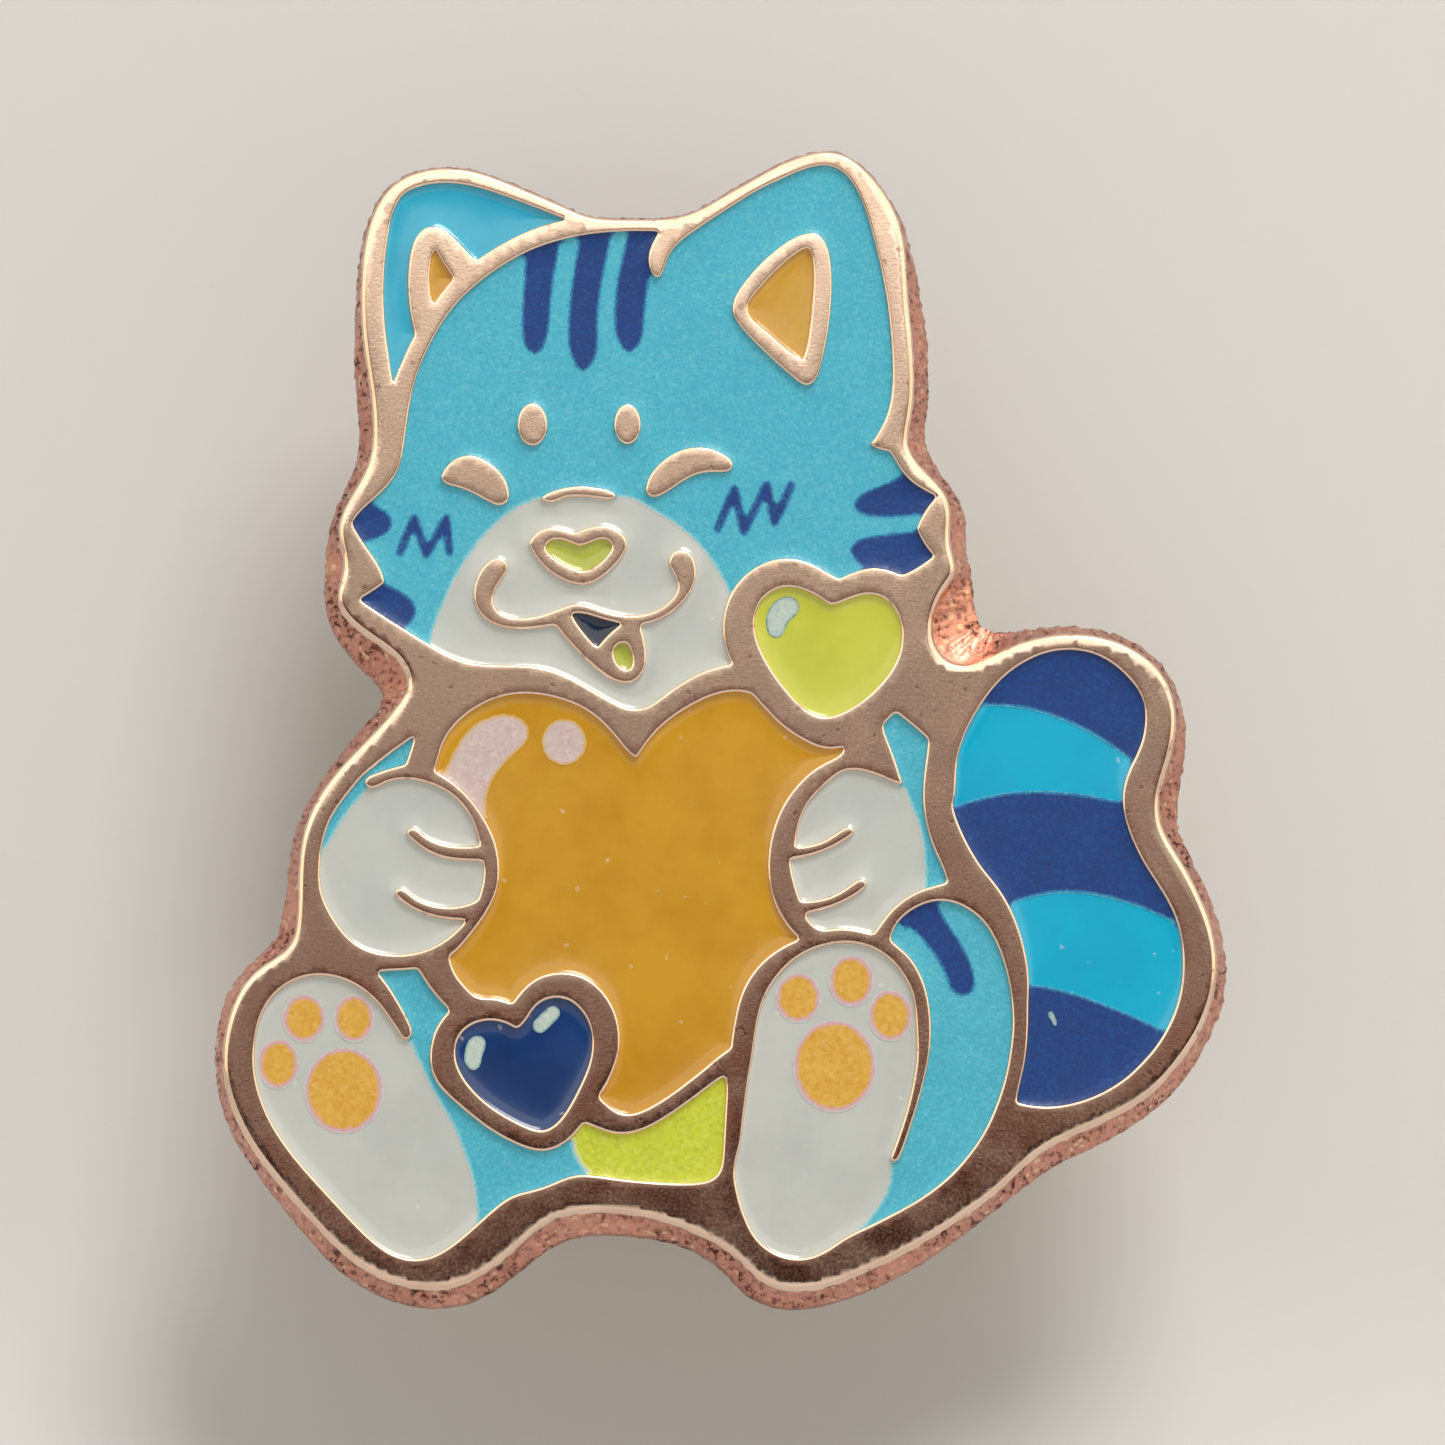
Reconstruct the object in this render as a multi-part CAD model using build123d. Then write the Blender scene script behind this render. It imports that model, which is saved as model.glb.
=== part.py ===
"""Enamel pin: a sitting cartoon cat hugging a heart, with two butterfly clutches.

Frame: +X right and +Z up as the pin is worn, and the face looks along -Y.
The back face lies on y = 0 and the origin is midway between the two posts.
All sizes are in millimetres.
"""
import math
import os

from build123d import *

os.makedirs("parts", exist_ok=True)

# ---------------------------------------------------------------- driving sizes
pin_height = 38.1           # 1.5 inch, the usual size of a lapel pin like this
drawing_height = 38.1       # height of the outlines below, as drawn
plate_thickness = 2.0       # back face to the flat of the metal lines
cell_depth = 0.9            # how far the cells are struck into the face
enamel_recess = 0.22        # the hard surface of the enamel lies this far below the lines
ink_thickness = 0.03        # printed ink on top of the enamel
rim_round = 0.20            # rounded-over edge of the face
skirt_height = 0.95         # height of the upright part of the trimmed side
skirt_chamfer = 0.12        # broken edge round the back face

post_spacing = 14.66        # between the two post axes
post_radius = 0.55
post_length = 8.0           # from the back face to the tip
post_cone = 0.9             # length of the sharp tip
post_blunt = 0.06           # the very point is left a touch blunt
post_head_radius = 1.5
post_head_height = 0.45
groove_radius = 0.38
groove_bevel = 0.1
groove_start = 5.6
groove_end = 6.2
solder_width = 0.45
solder_height = 0.32
seat_depth = 0.05           # shallow round seat in the back that places each post
seat_clearance = 0.05

fabric_gap = 2.2            # the clutch rests this far behind the back face
clutch_radius = 5.25
clutch_height = 1.9
clutch_sheet = 0.3
clutch_foot = 0.25          # broken corner where the rim leaves the dish
clutch_roll = 0.2           # broken corner where the rim rolls over
clutch_lip = 0.65           # how far the rolled rim turns inwards
clutch_bore_clearance = 0.08
dimple_circle = 3.4
dimple_radius = 0.45
dimple_height = 0.15
dimple_count = 8
scoop_radius = 3.4          # waisted side of the spring plate
scoop_depth = 1.2

plate_gap = 0.04            # running gap between the stacked spring parts
plate_clearance = 0.15      # radial gap between the spring plate and the rim
spring_sheet = 0.3
jaw_radius = 0.85           # hole in each jaw
jaw_grip = 0.02             # gap between the gripping edge and the post at rest
jaw_half_width = 1.5
jaw_end = 1.2               # how far a jaw reaches past the post axis
wing_half_width = 2.8
wing_neck = 1.2             # half width of the narrow neck above the jaw
wing_neck_start = 1.45      # the jaw narrows to the neck between these heights
wing_neck_end = 1.75
wing_flare = 2.45           # height over which the neck widens to the wing
wing_tip_radius = 1.0
wing_foot = 1.9             # where the jaw bends up, from the post axis
wing_bend = 0.8             # radius of that bend
wing_slope = math.radians(72)
wing_curl = 2.0             # radius of the outward curl at the top
wing_lip_slope = math.radians(8)
wing_lip = 0.55             # straight lip after the curl
wing_height = 4.9           # height of the lip above the dish's fabric side
wing_reach = 5.4            # the tips end this far from the post axis
tool_past = 0.5             # how far a cutting shape runs past what it cuts
wing_turn_left = 18.0       # the clutches sit as they were pushed on, not in line
wing_turn_right = -32.0

scale = pin_height / drawing_height
face_y = -plate_thickness
floor_y = -(plate_thickness - cell_depth)
enamel_y = -(plate_thickness - enamel_recess)
ink_y = enamel_y - ink_thickness

# ---------------------------------------------------------------- the rim
# Stations round the rim: the edge of the face, then the trimmed skirt outside it.
rim_stations = [
    ((-11.30, 4.60), (-12.05, 4.55)), ((-11.25, 5.00), (-12.35, 5.00)),
    ((-11.60, 5.60), (-12.90, 5.50)), ((-12.10, 6.00), (-13.30, 6.00)),
    ((-12.70, 6.40), (-13.65, 6.45)), ((-13.20, 6.80), (-13.90, 7.00)),
    ((-13.50, 7.22), (-14.00, 7.45)), ((-13.60, 7.65), (-14.05, 7.85)),
    ((-13.50, 8.10), (-14.06, 8.25)), ((-13.36, 8.60), (-14.03, 8.65)),
    ((-13.42, 9.10), (-14.00, 9.08)), ((-13.54, 9.60), (-13.95, 9.55)),
    ((-13.55, 10.05), (-13.87, 10.03)), ((-13.38, 10.55), (-13.72, 10.52)),
    ((-13.10, 11.05), (-13.50, 11.05)), ((-12.80, 11.55), (-13.26, 11.55)),
    ((-12.58, 12.05), (-13.05, 12.05)), ((-12.46, 12.60), (-12.94, 12.60)),
    ((-12.44, 13.30), (-12.92, 13.30)), ((-12.50, 14.20), (-13.00, 14.20)),
    ((-12.63, 15.00), (-13.08, 15.00)), ((-12.78, 16.00), (-13.10, 16.00)),
    ((-12.86, 17.00), (-13.07, 17.00)), ((-12.86, 18.00), (-13.02, 18.00)),
    ((-12.79, 19.00), (-12.95, 19.02)), ((-12.58, 20.00), (-12.75, 20.05)),
    ((-12.22, 20.80), (-12.37, 20.92)), ((-11.78, 21.30), (-11.90, 21.47)),
    ((-11.10, 21.66), (-11.18, 21.86)), ((-10.00, 21.83), (-10.00, 22.04)),
    ((-9.00, 21.68), (-8.95, 21.88)), ((-8.00, 21.28), (-7.92, 21.47)),
    ((-7.00, 20.88), (-6.93, 21.07)), ((-6.10, 20.47), (-6.03, 20.66)),
    ((-5.45, 20.20), (-5.42, 20.39)), ((-4.80, 20.12), (-4.80, 20.33)),
    ((-3.60, 20.12), (-3.60, 20.33)), ((-2.60, 20.16), (-2.60, 20.36)),
    ((-1.90, 20.38), (-1.95, 20.56)), ((-1.00, 20.92), (-1.07, 21.10)),
    ((0.00, 21.48), (-0.07, 21.66)), ((1.00, 22.05), (0.95, 22.24)),
    ((1.80, 22.33), (1.78, 22.52)), ((2.50, 22.42), (2.52, 22.61)),
    ((3.00, 22.28), (3.07, 22.47)), ((3.45, 21.98), (3.55, 22.15)),
    ((3.95, 21.45), (4.08, 21.60)), ((4.42, 20.80), (4.57, 20.92)),
    ((4.80, 19.95), (5.02, 19.95)), ((4.96, 19.00), (5.27, 18.98)),
    ((5.00, 18.00), (5.45, 18.00)), ((5.08, 17.00), (5.62, 17.00)),
    ((5.18, 16.00), (5.73, 16.00)), ((5.23, 15.00), (5.77, 15.00)),
    ((5.18, 14.00), (5.72, 14.08)), ((5.04, 13.25), (5.62, 13.45)),
    ((4.98, 12.75), (5.60, 12.95)), ((5.20, 12.25), (5.80, 12.42)),
    ((5.62, 11.78), (6.17, 11.87)), ((6.08, 11.32), (6.60, 11.32)),
    ((6.34, 10.88), (6.88, 10.75)), ((6.40, 10.38), (6.97, 10.22)),
    ((6.35, 9.82), (6.96, 9.72)), ((6.40, 9.30), (7.00, 9.22)),
    ((6.54, 8.82), (7.10, 8.75)), ((6.52, 8.42), (7.17, 8.30)),
    ((6.28, 8.05), (7.22, 7.90)), ((6.00, 7.60), (7.26, 7.50)),
    ((5.82, 7.10), (7.31, 7.15)), ((5.76, 6.55), (7.40, 6.90)),
    ((5.90, 6.02), (7.62, 6.74)), ((6.20, 5.66), (7.92, 6.67)),
    ((6.60, 5.48), (8.25, 6.68)), ((7.08, 5.50), (8.60, 6.72)),
    ((7.62, 5.74), (8.95, 6.78)), ((8.30, 6.08), (9.32, 6.83)),
    ((9.10, 6.36), (9.75, 6.88)), ((10.00, 6.52), (10.30, 6.91)),
    ((11.00, 6.50), (11.10, 6.84)), ((12.00, 6.22), (12.15, 6.54)),
    ((12.80, 5.74), (13.02, 6.02)), ((13.32, 5.18), (13.57, 5.36)),
    ((13.60, 4.60), (13.92, 4.68)), ((13.73, 4.00), (14.10, 3.97)),
    ((13.70, 3.22), (14.15, 3.15)), ((13.55, 2.50), (14.08, 2.40)),
    ((13.35, 1.90), (13.97, 1.72)), ((13.19, 1.30), (13.86, 1.12)),
    ((13.14, 0.78), (13.82, 0.65)), ((13.24, 0.22), (13.90, 0.12)),
    ((13.52, -0.36), (14.13, -0.45)), ((13.88, -0.92), (14.40, -1.00)),
    ((14.21, -1.50), (14.66, -1.53)), ((14.51, -2.12), (14.93, -2.08)),
    ((14.76, -2.75), (15.16, -2.70)), ((14.93, -3.40), (15.33, -3.37)),
    ((15.01, -4.05), (15.41, -4.07)), ((15.00, -4.70), (15.42, -4.77)),
    ((14.88, -5.40), (15.32, -5.47)), ((14.66, -6.05), (15.08, -6.15)),
    ((14.36, -6.68), (14.78, -6.75)), ((14.00, -7.22), (14.47, -7.35)),
    ((13.52, -7.85), (14.00, -8.02)), ((13.02, -8.37), (13.52, -8.57)),
    ((12.50, -8.77), (13.00, -8.98)), ((11.95, -9.10), (12.43, -9.42)),
    ((11.00, -9.56), (11.40, -10.02)), ((10.05, -9.97), (10.42, -10.47)),
    ((9.42, -10.30), (9.80, -10.78)), ((8.90, -10.69), (9.27, -11.13)),
    ((8.45, -11.12), (8.82, -11.46)), ((8.00, -11.56), (8.37, -11.82)),
    ((7.50, -11.98), (7.90, -12.20)), ((6.98, -12.34), (7.40, -12.60)),
    ((6.02, -13.00), (6.48, -13.28)), ((5.00, -13.60), (5.47, -13.98)),
    ((4.02, -14.10), (4.40, -14.57)), ((3.10, -14.50), (3.40, -15.00)),
    ((2.30, -14.80), (2.45, -15.31)), ((1.45, -14.94), (1.47, -15.48)),
    ((0.70, -14.86), (0.60, -15.40)), ((0.15, -14.58), (-0.05, -15.12)),
    ((-0.22, -14.20), (-0.53, -14.73)), ((-0.58, -13.84), (-0.97, -14.27)),
    ((-1.08, -13.48), (-1.47, -13.84)), ((-1.82, -13.08), (-2.07, -13.50)),
    ((-2.82, -12.68), (-2.97, -13.22)), ((-4.00, -12.42), (-4.00, -13.08)),
    ((-5.15, -12.35), (-5.10, -13.03)), ((-5.98, -12.42), (-5.95, -13.16)),
    ((-6.58, -12.63), (-6.52, -13.42)), ((-7.05, -12.95), (-7.00, -13.76)),
    ((-7.52, -13.36), (-7.50, -14.17)), ((-8.00, -13.80), (-8.00, -14.57)),
    ((-8.50, -14.20), (-8.50, -14.93)), ((-9.02, -14.53), (-9.02, -15.20)),
    ((-9.62, -14.78), (-9.62, -15.38)), ((-10.30, -14.89), (-10.32, -15.45)),
    ((-11.00, -14.86), (-11.10, -15.37)), ((-11.70, -14.69), (-11.87, -15.16)),
    ((-12.38, -14.38), (-12.62, -14.80)), ((-13.02, -13.97), (-13.34, -14.32)),
    ((-13.56, -13.49), (-13.92, -13.77)), ((-14.05, -13.00), (-14.43, -13.20)),
    ((-14.49, -12.50), (-14.90, -12.66)), ((-14.93, -12.00), (-15.35, -12.12)),
    ((-15.36, -11.50), (-15.77, -11.56)), ((-15.77, -11.00), (-16.17, -11.02)),
    ((-16.14, -10.50), (-16.54, -10.51)), ((-16.46, -10.00), (-16.85, -10.00)),
    ((-16.72, -9.50), (-17.09, -9.48)), ((-16.93, -9.00), (-17.27, -8.97)),
    ((-17.08, -8.50), (-17.41, -8.45)), ((-17.18, -8.00), (-17.48, -7.95)),
    ((-17.22, -7.50), (-17.52, -7.46)), ((-17.20, -7.00), (-17.51, -6.98)),
    ((-17.13, -6.50), (-17.47, -6.48)), ((-17.01, -6.00), (-17.38, -5.98)),
    ((-16.84, -5.52), (-17.24, -5.48)), ((-16.62, -5.10), (-17.03, -5.02)),
    ((-16.36, -4.75), (-16.73, -4.60)), ((-16.04, -4.46), (-16.38, -4.23)),
    ((-15.64, -4.20), (-16.00, -3.88)), ((-15.28, -3.95), (-15.68, -3.56)),
    ((-15.03, -3.68), (-15.48, -3.26)), ((-14.90, -3.33), (-15.39, -2.98)),
    ((-14.84, -2.88), (-15.34, -2.60)), ((-14.81, -2.28), (-15.27, -2.10)),
    ((-14.80, -1.62), (-15.20, -1.53)), ((-14.78, -1.02), (-15.14, -0.98)),
    ((-14.73, -0.50), (-15.06, -0.48)), ((-14.63, 0.00), (-14.95, 0.03)),
    ((-14.46, 0.50), (-14.77, 0.55)), ((-14.22, 1.00), (-14.52, 1.08)),
    ((-13.91, 1.50), (-14.22, 1.60)), ((-13.52, 2.00), (-13.87, 2.10)),
    ((-13.06, 2.50), (-13.50, 2.60)), ((-12.58, 3.00), (-13.10, 3.10)),
    ((-12.10, 3.50), (-12.68, 3.60)), ((-11.65, 4.05), (-12.28, 4.10)),
]

# ---------------------------------------------------------------- cells and islands
# Each outline is a list of smooth runs. A run ends where the next begins, at a corner.
# One run alone closes on itself with no corner.
left_ear_outer = [
    [(-11.80, 14.70), (-12.00, 16.00), (-12.10, 17.00), (-12.12, 18.00), (-12.05, 19.00),
     (-11.93, 19.90), (-11.75, 20.50), (-11.50, 20.90), (-11.10, 21.13), (-10.60, 21.25),
     (-10.00, 21.29), (-9.30, 21.20), (-8.50, 20.97), (-7.50, 20.60), (-6.80, 20.33)],
    [(-6.20, 20.10), (-6.80, 19.95), (-7.60, 19.65), (-8.40, 19.22)],
    [(-9.10, 18.75), (-9.45, 19.10), (-9.88, 19.57), (-10.30, 19.85), (-10.65, 19.88),
     (-10.95, 19.70), (-11.17, 19.35), (-11.30, 18.75), (-11.35, 18.00), (-11.28, 17.10)],
    [(-11.10, 16.30), (-11.37, 15.75), (-11.60, 15.20)],
]
left_ear_inner = [
    [(-10.45, 19.10), (-10.20, 18.65)],
    [(-9.85, 18.15), (-10.20, 17.72)],
    [(-10.50, 17.30), (-10.60, 17.70), (-10.62, 18.25), (-10.56, 18.80)],
]
head = [
    [(-3.15, 19.70), (-3.38, 19.30), (-3.50, 18.90), (-3.46, 18.50), (-3.32, 18.22),
     (-3.15, 18.14), (-3.00, 18.30), (-2.88, 18.70), (-2.70, 19.08), (-2.40, 19.40),
     (-2.00, 19.70), (-1.50, 20.04), (-1.00, 20.37), (-0.50, 20.70), (0.00, 21.02),
     (0.50, 21.28), (1.00, 21.51), (1.50, 21.73), (2.00, 21.89), (2.38, 21.92),
     (2.72, 21.82), (3.02, 21.58), (3.28, 21.22), (3.50, 20.77), (3.70, 20.20),
     (3.88, 19.55), (4.06, 18.80), (4.24, 18.00), (4.36, 17.20), (4.45, 16.40),
     (4.50, 15.60), (4.51, 14.90), (4.46, 14.30), (4.34, 13.75), (4.14, 13.28)],
    [(3.75, 12.70), (4.05, 12.53)],
    [(4.40, 12.48), (4.58, 12.20), (4.76, 11.86), (5.05, 11.52), (5.48, 11.22)],
    [(5.92, 11.00), (5.52, 10.52)],
    [(5.27, 9.95), (5.50, 9.45)],
    [(5.83, 9.05), (5.52, 8.82), (5.18, 8.60)],
    [(4.80, 8.43), (4.42, 8.58), (4.00, 8.67), (3.58, 8.64), (3.12, 8.48)],
    [(2.73, 8.30), (2.42, 8.47), (2.05, 8.70), (1.60, 8.90), (1.10, 8.98), (0.60, 8.93),
     (0.10, 8.73), (-0.38, 8.38), (-0.77, 7.88), (-1.01, 7.28), (-1.07, 6.58), (-0.95, 5.95)],
    [(-0.75, 5.50), (-1.22, 5.40), (-1.78, 5.21), (-2.30, 4.93), (-2.78, 4.60),
     (-3.18, 4.28), (-3.52, 4.07), (-3.88, 4.00), (-4.20, 4.05), (-4.55, 4.21),
     (-5.00, 4.46), (-5.50, 4.75), (-6.00, 5.04), (-6.50, 5.25), (-7.00, 5.38),
     (-7.60, 5.44), (-8.30, 5.44), (-9.00, 5.46), (-9.50, 5.56), (-10.02, 5.77),
     (-10.60, 6.11), (-11.20, 6.48), (-11.80, 6.86), (-12.38, 7.23)],
    [(-12.85, 7.57), (-12.42, 7.82)],
    [(-12.05, 8.10), (-12.15, 8.58), (-12.46, 9.04), (-12.82, 9.55)],
    [(-13.10, 10.05), (-12.95, 10.32), (-12.64, 10.63), (-12.22, 11.00), (-11.85, 11.40),
     (-11.60, 11.82), (-11.48, 12.30), (-11.38, 13.00), (-11.25, 14.00), (-11.02, 15.00),
     (-10.62, 15.90), (-10.30, 16.50), (-9.95, 17.03), (-9.50, 17.55), (-9.00, 18.00),
     (-8.50, 18.38), (-7.98, 18.72), (-7.40, 19.03), (-6.72, 19.30), (-5.95, 19.51),
     (-5.00, 19.66), (-4.05, 19.71)],
]
left_eye = [
    [(-10.28, 11.62), (-10.02, 12.02), (-9.64, 12.28), (-9.27, 12.34), (-8.87, 12.22),
     (-8.42, 11.92), (-8.12, 11.57), (-7.98, 11.15), (-8.03, 10.76), (-8.28, 10.62),
     (-8.62, 10.73), (-9.02, 10.96), (-9.42, 11.16), (-9.80, 11.27), (-10.14, 11.36)],
]
right_eye = [
    [(-3.60, 11.15), (-3.48, 11.62), (-3.12, 12.08), (-2.62, 12.44), (-2.02, 12.63),
     (-1.42, 12.58), (-0.95, 12.37), (-0.66, 12.08), (-0.74, 11.82), (-1.05, 11.76),
     (-1.60, 11.78), (-2.18, 11.58), (-2.68, 11.22), (-3.08, 10.97), (-3.42, 10.92)],
]
bridge_line = [
    [(-7.05, 10.92), (-6.70, 11.12), (-6.25, 11.26), (-5.55, 11.34), (-4.95, 11.24),
     (-4.55, 11.10), (-4.45, 10.95), (-4.62, 10.86), (-5.02, 10.88), (-5.60, 10.97),
     (-6.28, 10.90), (-6.85, 10.74)],
]
right_ear_ring = [
    [(1.95, 19.76), (1.32, 19.58), (0.70, 19.15), (0.10, 18.60), (-0.40, 18.00),
     (-0.73, 17.42), (-0.75, 17.02), (-0.48, 16.55), (0.10, 15.95), (0.80, 15.28),
     (1.38, 14.78), (1.75, 14.58), (2.00, 14.78), (2.20, 15.35), (2.38, 16.20),
     (2.50, 17.10), (2.55, 18.05), (2.50, 18.90), (2.33, 19.45)],
]
right_ear_inner = [
    [(1.75, 19.20), (1.32, 18.97), (0.88, 18.60), (0.40, 18.10), (-0.02, 17.62),
     (-0.24, 17.25), (-0.18, 16.97), (0.20, 16.60), (0.78, 16.10), (1.26, 15.68)],
    [(1.55, 15.50), (1.70, 15.90), (1.81, 16.65), (1.90, 17.60), (1.94, 18.40), (1.87, 18.98)],
]
nose_ring = [
    [(-7.36, 9.42), (-7.18, 9.77), (-6.75, 9.97), (-6.34, 9.93)],
    [(-5.88, 9.78), (-5.38, 9.98), (-4.92, 10.06), (-4.42, 9.88), (-4.11, 9.54),
     (-4.23, 9.08), (-4.62, 8.58), (-5.12, 8.18), (-5.58, 8.02), (-6.10, 8.13),
     (-6.62, 8.40), (-7.10, 8.86)],
]
nose = [
    [(-6.82, 9.30), (-6.66, 9.52), (-6.40, 9.56), (-6.05, 9.46)],
    [(-5.70, 9.33), (-5.25, 9.49), (-4.82, 9.57), (-4.62, 9.42), (-4.76, 9.08),
     (-5.10, 8.73), (-5.50, 8.52), (-5.85, 8.56), (-6.30, 8.80), (-6.70, 9.08)],
]
mouth_line = [
    [(-8.05, 8.78), (-8.38, 9.02), (-8.85, 8.72), (-9.14, 8.15), (-9.17, 7.58),
     (-8.98, 7.10), (-8.60, 6.77), (-8.08, 6.61), (-7.42, 6.60), (-6.90, 6.66)],
    [(-6.50, 6.72), (-6.08, 6.20), (-5.60, 5.69), (-5.12, 5.27), (-4.70, 4.96),
     (-4.28, 4.81), (-3.90, 4.87), (-3.64, 5.14), (-3.51, 5.62), (-3.55, 6.20)],
    [(-3.70, 6.75), (-3.05, 6.92), (-2.52, 7.28), (-2.10, 7.76), (-1.90, 8.30),
     (-1.90, 8.82), (-2.13, 9.20), (-2.46, 9.28), (-2.78, 9.06), (-2.82, 8.74),
     (-2.60, 8.40), (-2.47, 8.00), (-2.70, 7.60), (-3.12, 7.27), (-3.60, 7.10),
     (-4.15, 7.06), (-4.80, 7.17), (-5.38, 7.40), (-5.86, 7.48), (-6.30, 7.32),
     (-6.82, 7.10), (-7.42, 6.97), (-8.00, 6.99), (-8.40, 7.20), (-8.55, 7.60),
     (-8.45, 7.92), (-8.20, 8.25), (-8.05, 8.53)],
]
mouth = [
    [(-5.95, 7.10), (-5.66, 7.14), (-5.20, 7.01), (-4.78, 6.88)],
    [(-4.35, 6.80), (-4.75, 6.48)],
    [(-5.13, 6.03), (-5.50, 6.42), (-5.78, 6.80)],
]
tongue = [
    [(-4.62, 5.92), (-4.42, 6.14), (-4.20, 6.18), (-4.05, 5.98), (-3.96, 5.56),
     (-4.06, 5.28), (-4.30, 5.31), (-4.54, 5.60)],
]
cheek_heart = [
    [(2.55, 7.38), (2.92, 7.54), (3.32, 7.71), (3.80, 7.79), (4.22, 7.67), (4.58, 7.32),
     (4.78, 6.84), (4.80, 6.28), (4.66, 5.68), (4.30, 5.08), (3.80, 4.54), (3.22, 4.10),
     (2.66, 3.82), (2.20, 3.75), (1.78, 3.90), (1.32, 4.32), (0.80, 4.94), (0.32, 5.70),
     (0.04, 6.38), (-0.02, 6.98), (0.14, 7.48), (0.50, 7.84), (0.95, 8.02), (1.42, 7.98),
     (1.90, 7.78), (2.26, 7.55)],
]
big_heart = [
    [(-10.38, 1.97), (-10.27, 2.40), (-10.14, 2.85), (-9.82, 3.37), (-9.28, 3.88),
     (-8.60, 4.27), (-7.88, 4.47), (-7.18, 4.48), (-6.50, 4.36), (-5.84, 4.14),
     (-5.28, 3.82), (-4.80, 3.38), (-4.38, 2.88), (-4.05, 2.48)],
    [(-3.84, 2.38), (-3.64, 2.68), (-3.36, 3.07), (-2.98, 3.47), (-2.50, 3.84),
     (-2.00, 4.14), (-1.50, 4.39), (-1.00, 4.54), (-0.50, 4.58)],
    [(-0.10, 4.48), (0.28, 4.06), (0.68, 3.62), (1.12, 3.25), (1.60, 2.96), (2.08, 2.74),
     (2.50, 2.68)],
    [(2.89, 2.76), (2.87, 2.62), (2.50, 2.38), (2.14, 2.20), (1.80, 1.97), (1.50, 1.69),
     (1.17, 1.30), (0.89, 0.87), (0.68, 0.39), (0.53, -0.10), (0.45, -0.60), (0.42, -1.05),
     (0.44, -1.51), (0.51, -1.94), (0.64, -2.36), (0.84, -2.78), (1.08, -3.14)],
    [(1.42, -3.48), (0.96, -3.68), (0.54, -3.95), (0.16, -4.28), (-0.16, -4.68),
     (-0.40, -5.12), (-0.58, -5.66), (-0.69, -6.25), (-0.76, -6.70)],
    [(-0.80, -7.02), (-1.12, -7.24), (-1.55, -7.61), (-2.04, -8.00), (-2.50, -8.36),
     (-2.97, -8.69), (-3.42, -8.96), (-3.84, -9.14), (-4.18, -9.19), (-4.50, -9.09),
     (-4.78, -8.86)],
    [(-5.03, -8.63), (-4.80, -8.28), (-4.58, -7.82), (-4.43, -7.35), (-4.36, -6.88),
     (-4.38, -6.40), (-4.50, -5.88), (-4.74, -5.42), (-5.06, -5.03), (-5.46, -4.74),
     (-5.93, -4.59), (-6.43, -4.57), (-6.90, -4.67), (-7.32, -4.91), (-7.65, -5.26)],
    [(-7.88, -5.58), (-8.12, -5.49), (-8.45, -5.41), (-8.76, -5.41), (-9.00, -5.40),
     (-9.30, -5.12), (-9.60, -4.80), (-9.79, -4.44)],
    [(-9.89, -4.08), (-9.66, -3.92), (-9.38, -3.60), (-9.06, -3.20), (-8.76, -2.78),
     (-8.52, -2.36), (-8.36, -1.94), (-8.28, -1.50), (-8.29, -0.97), (-8.37, -0.46),
     (-8.55, 0.03), (-8.83, 0.53), (-9.17, 1.01), (-9.54, 1.40), (-9.96, 1.72)],
]
left_paw = [
    [(-11.09, 3.05), (-11.18, 2.72), (-11.28, 2.42)],
    [(-11.36, 2.18), (-11.72, 2.09), (-12.12, 1.96), (-12.46, 1.84), (-12.66, 1.72),
     (-12.70, 1.55), (-12.58, 1.38), (-12.38, 1.36), (-12.08, 1.52), (-11.70, 1.65),
     (-11.30, 1.69), (-10.85, 1.62), (-10.40, 1.48), (-9.98, 1.26), (-9.60, 0.95),
     (-9.32, 0.60), (-9.11, 0.17), (-9.00, -0.18)],
    [(-8.94, -0.46), (-9.30, -0.49), (-9.70, -0.49), (-10.15, -0.42), (-10.56, -0.26),
     (-10.86, -0.03), (-11.03, 0.12), (-11.22, 0.12), (-11.34, -0.03), (-11.25, -0.22),
     (-11.00, -0.42), (-10.68, -0.66), (-10.30, -0.84), (-9.82, -0.95), (-9.33, -0.98)],
    [(-8.85, -0.99), (-8.80, -1.26), (-8.82, -1.58), (-8.90, -1.92)],
    [(-9.00, -2.22), (-9.36, -2.39), (-9.82, -2.47), (-10.30, -2.44), (-10.72, -2.33),
     (-11.07, -2.14), (-11.30, -1.93), (-11.48, -1.84), (-11.66, -1.89), (-11.70, -2.04),
     (-11.54, -2.24), (-11.28, -2.44), (-10.94, -2.63), (-10.50, -2.79), (-9.98, -2.89)],
    [(-9.40, -2.92), (-9.60, -3.14), (-9.90, -3.42), (-10.28, -3.68), (-10.70, -3.88),
     (-11.22, -4.00), (-11.80, -4.02), (-12.33, -3.94), (-12.80, -3.75), (-13.22, -3.42),
     (-13.60, -2.92), (-13.86, -2.46), (-14.04, -2.02), (-14.11, -1.58), (-14.11, -1.10),
     (-14.06, -0.55), (-13.94, -0.08), (-13.76, 0.40), (-13.48, 0.85), (-13.10, 1.34),
     (-12.76, 1.76), (-12.32, 2.14), (-11.84, 2.52)],
]
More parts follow.
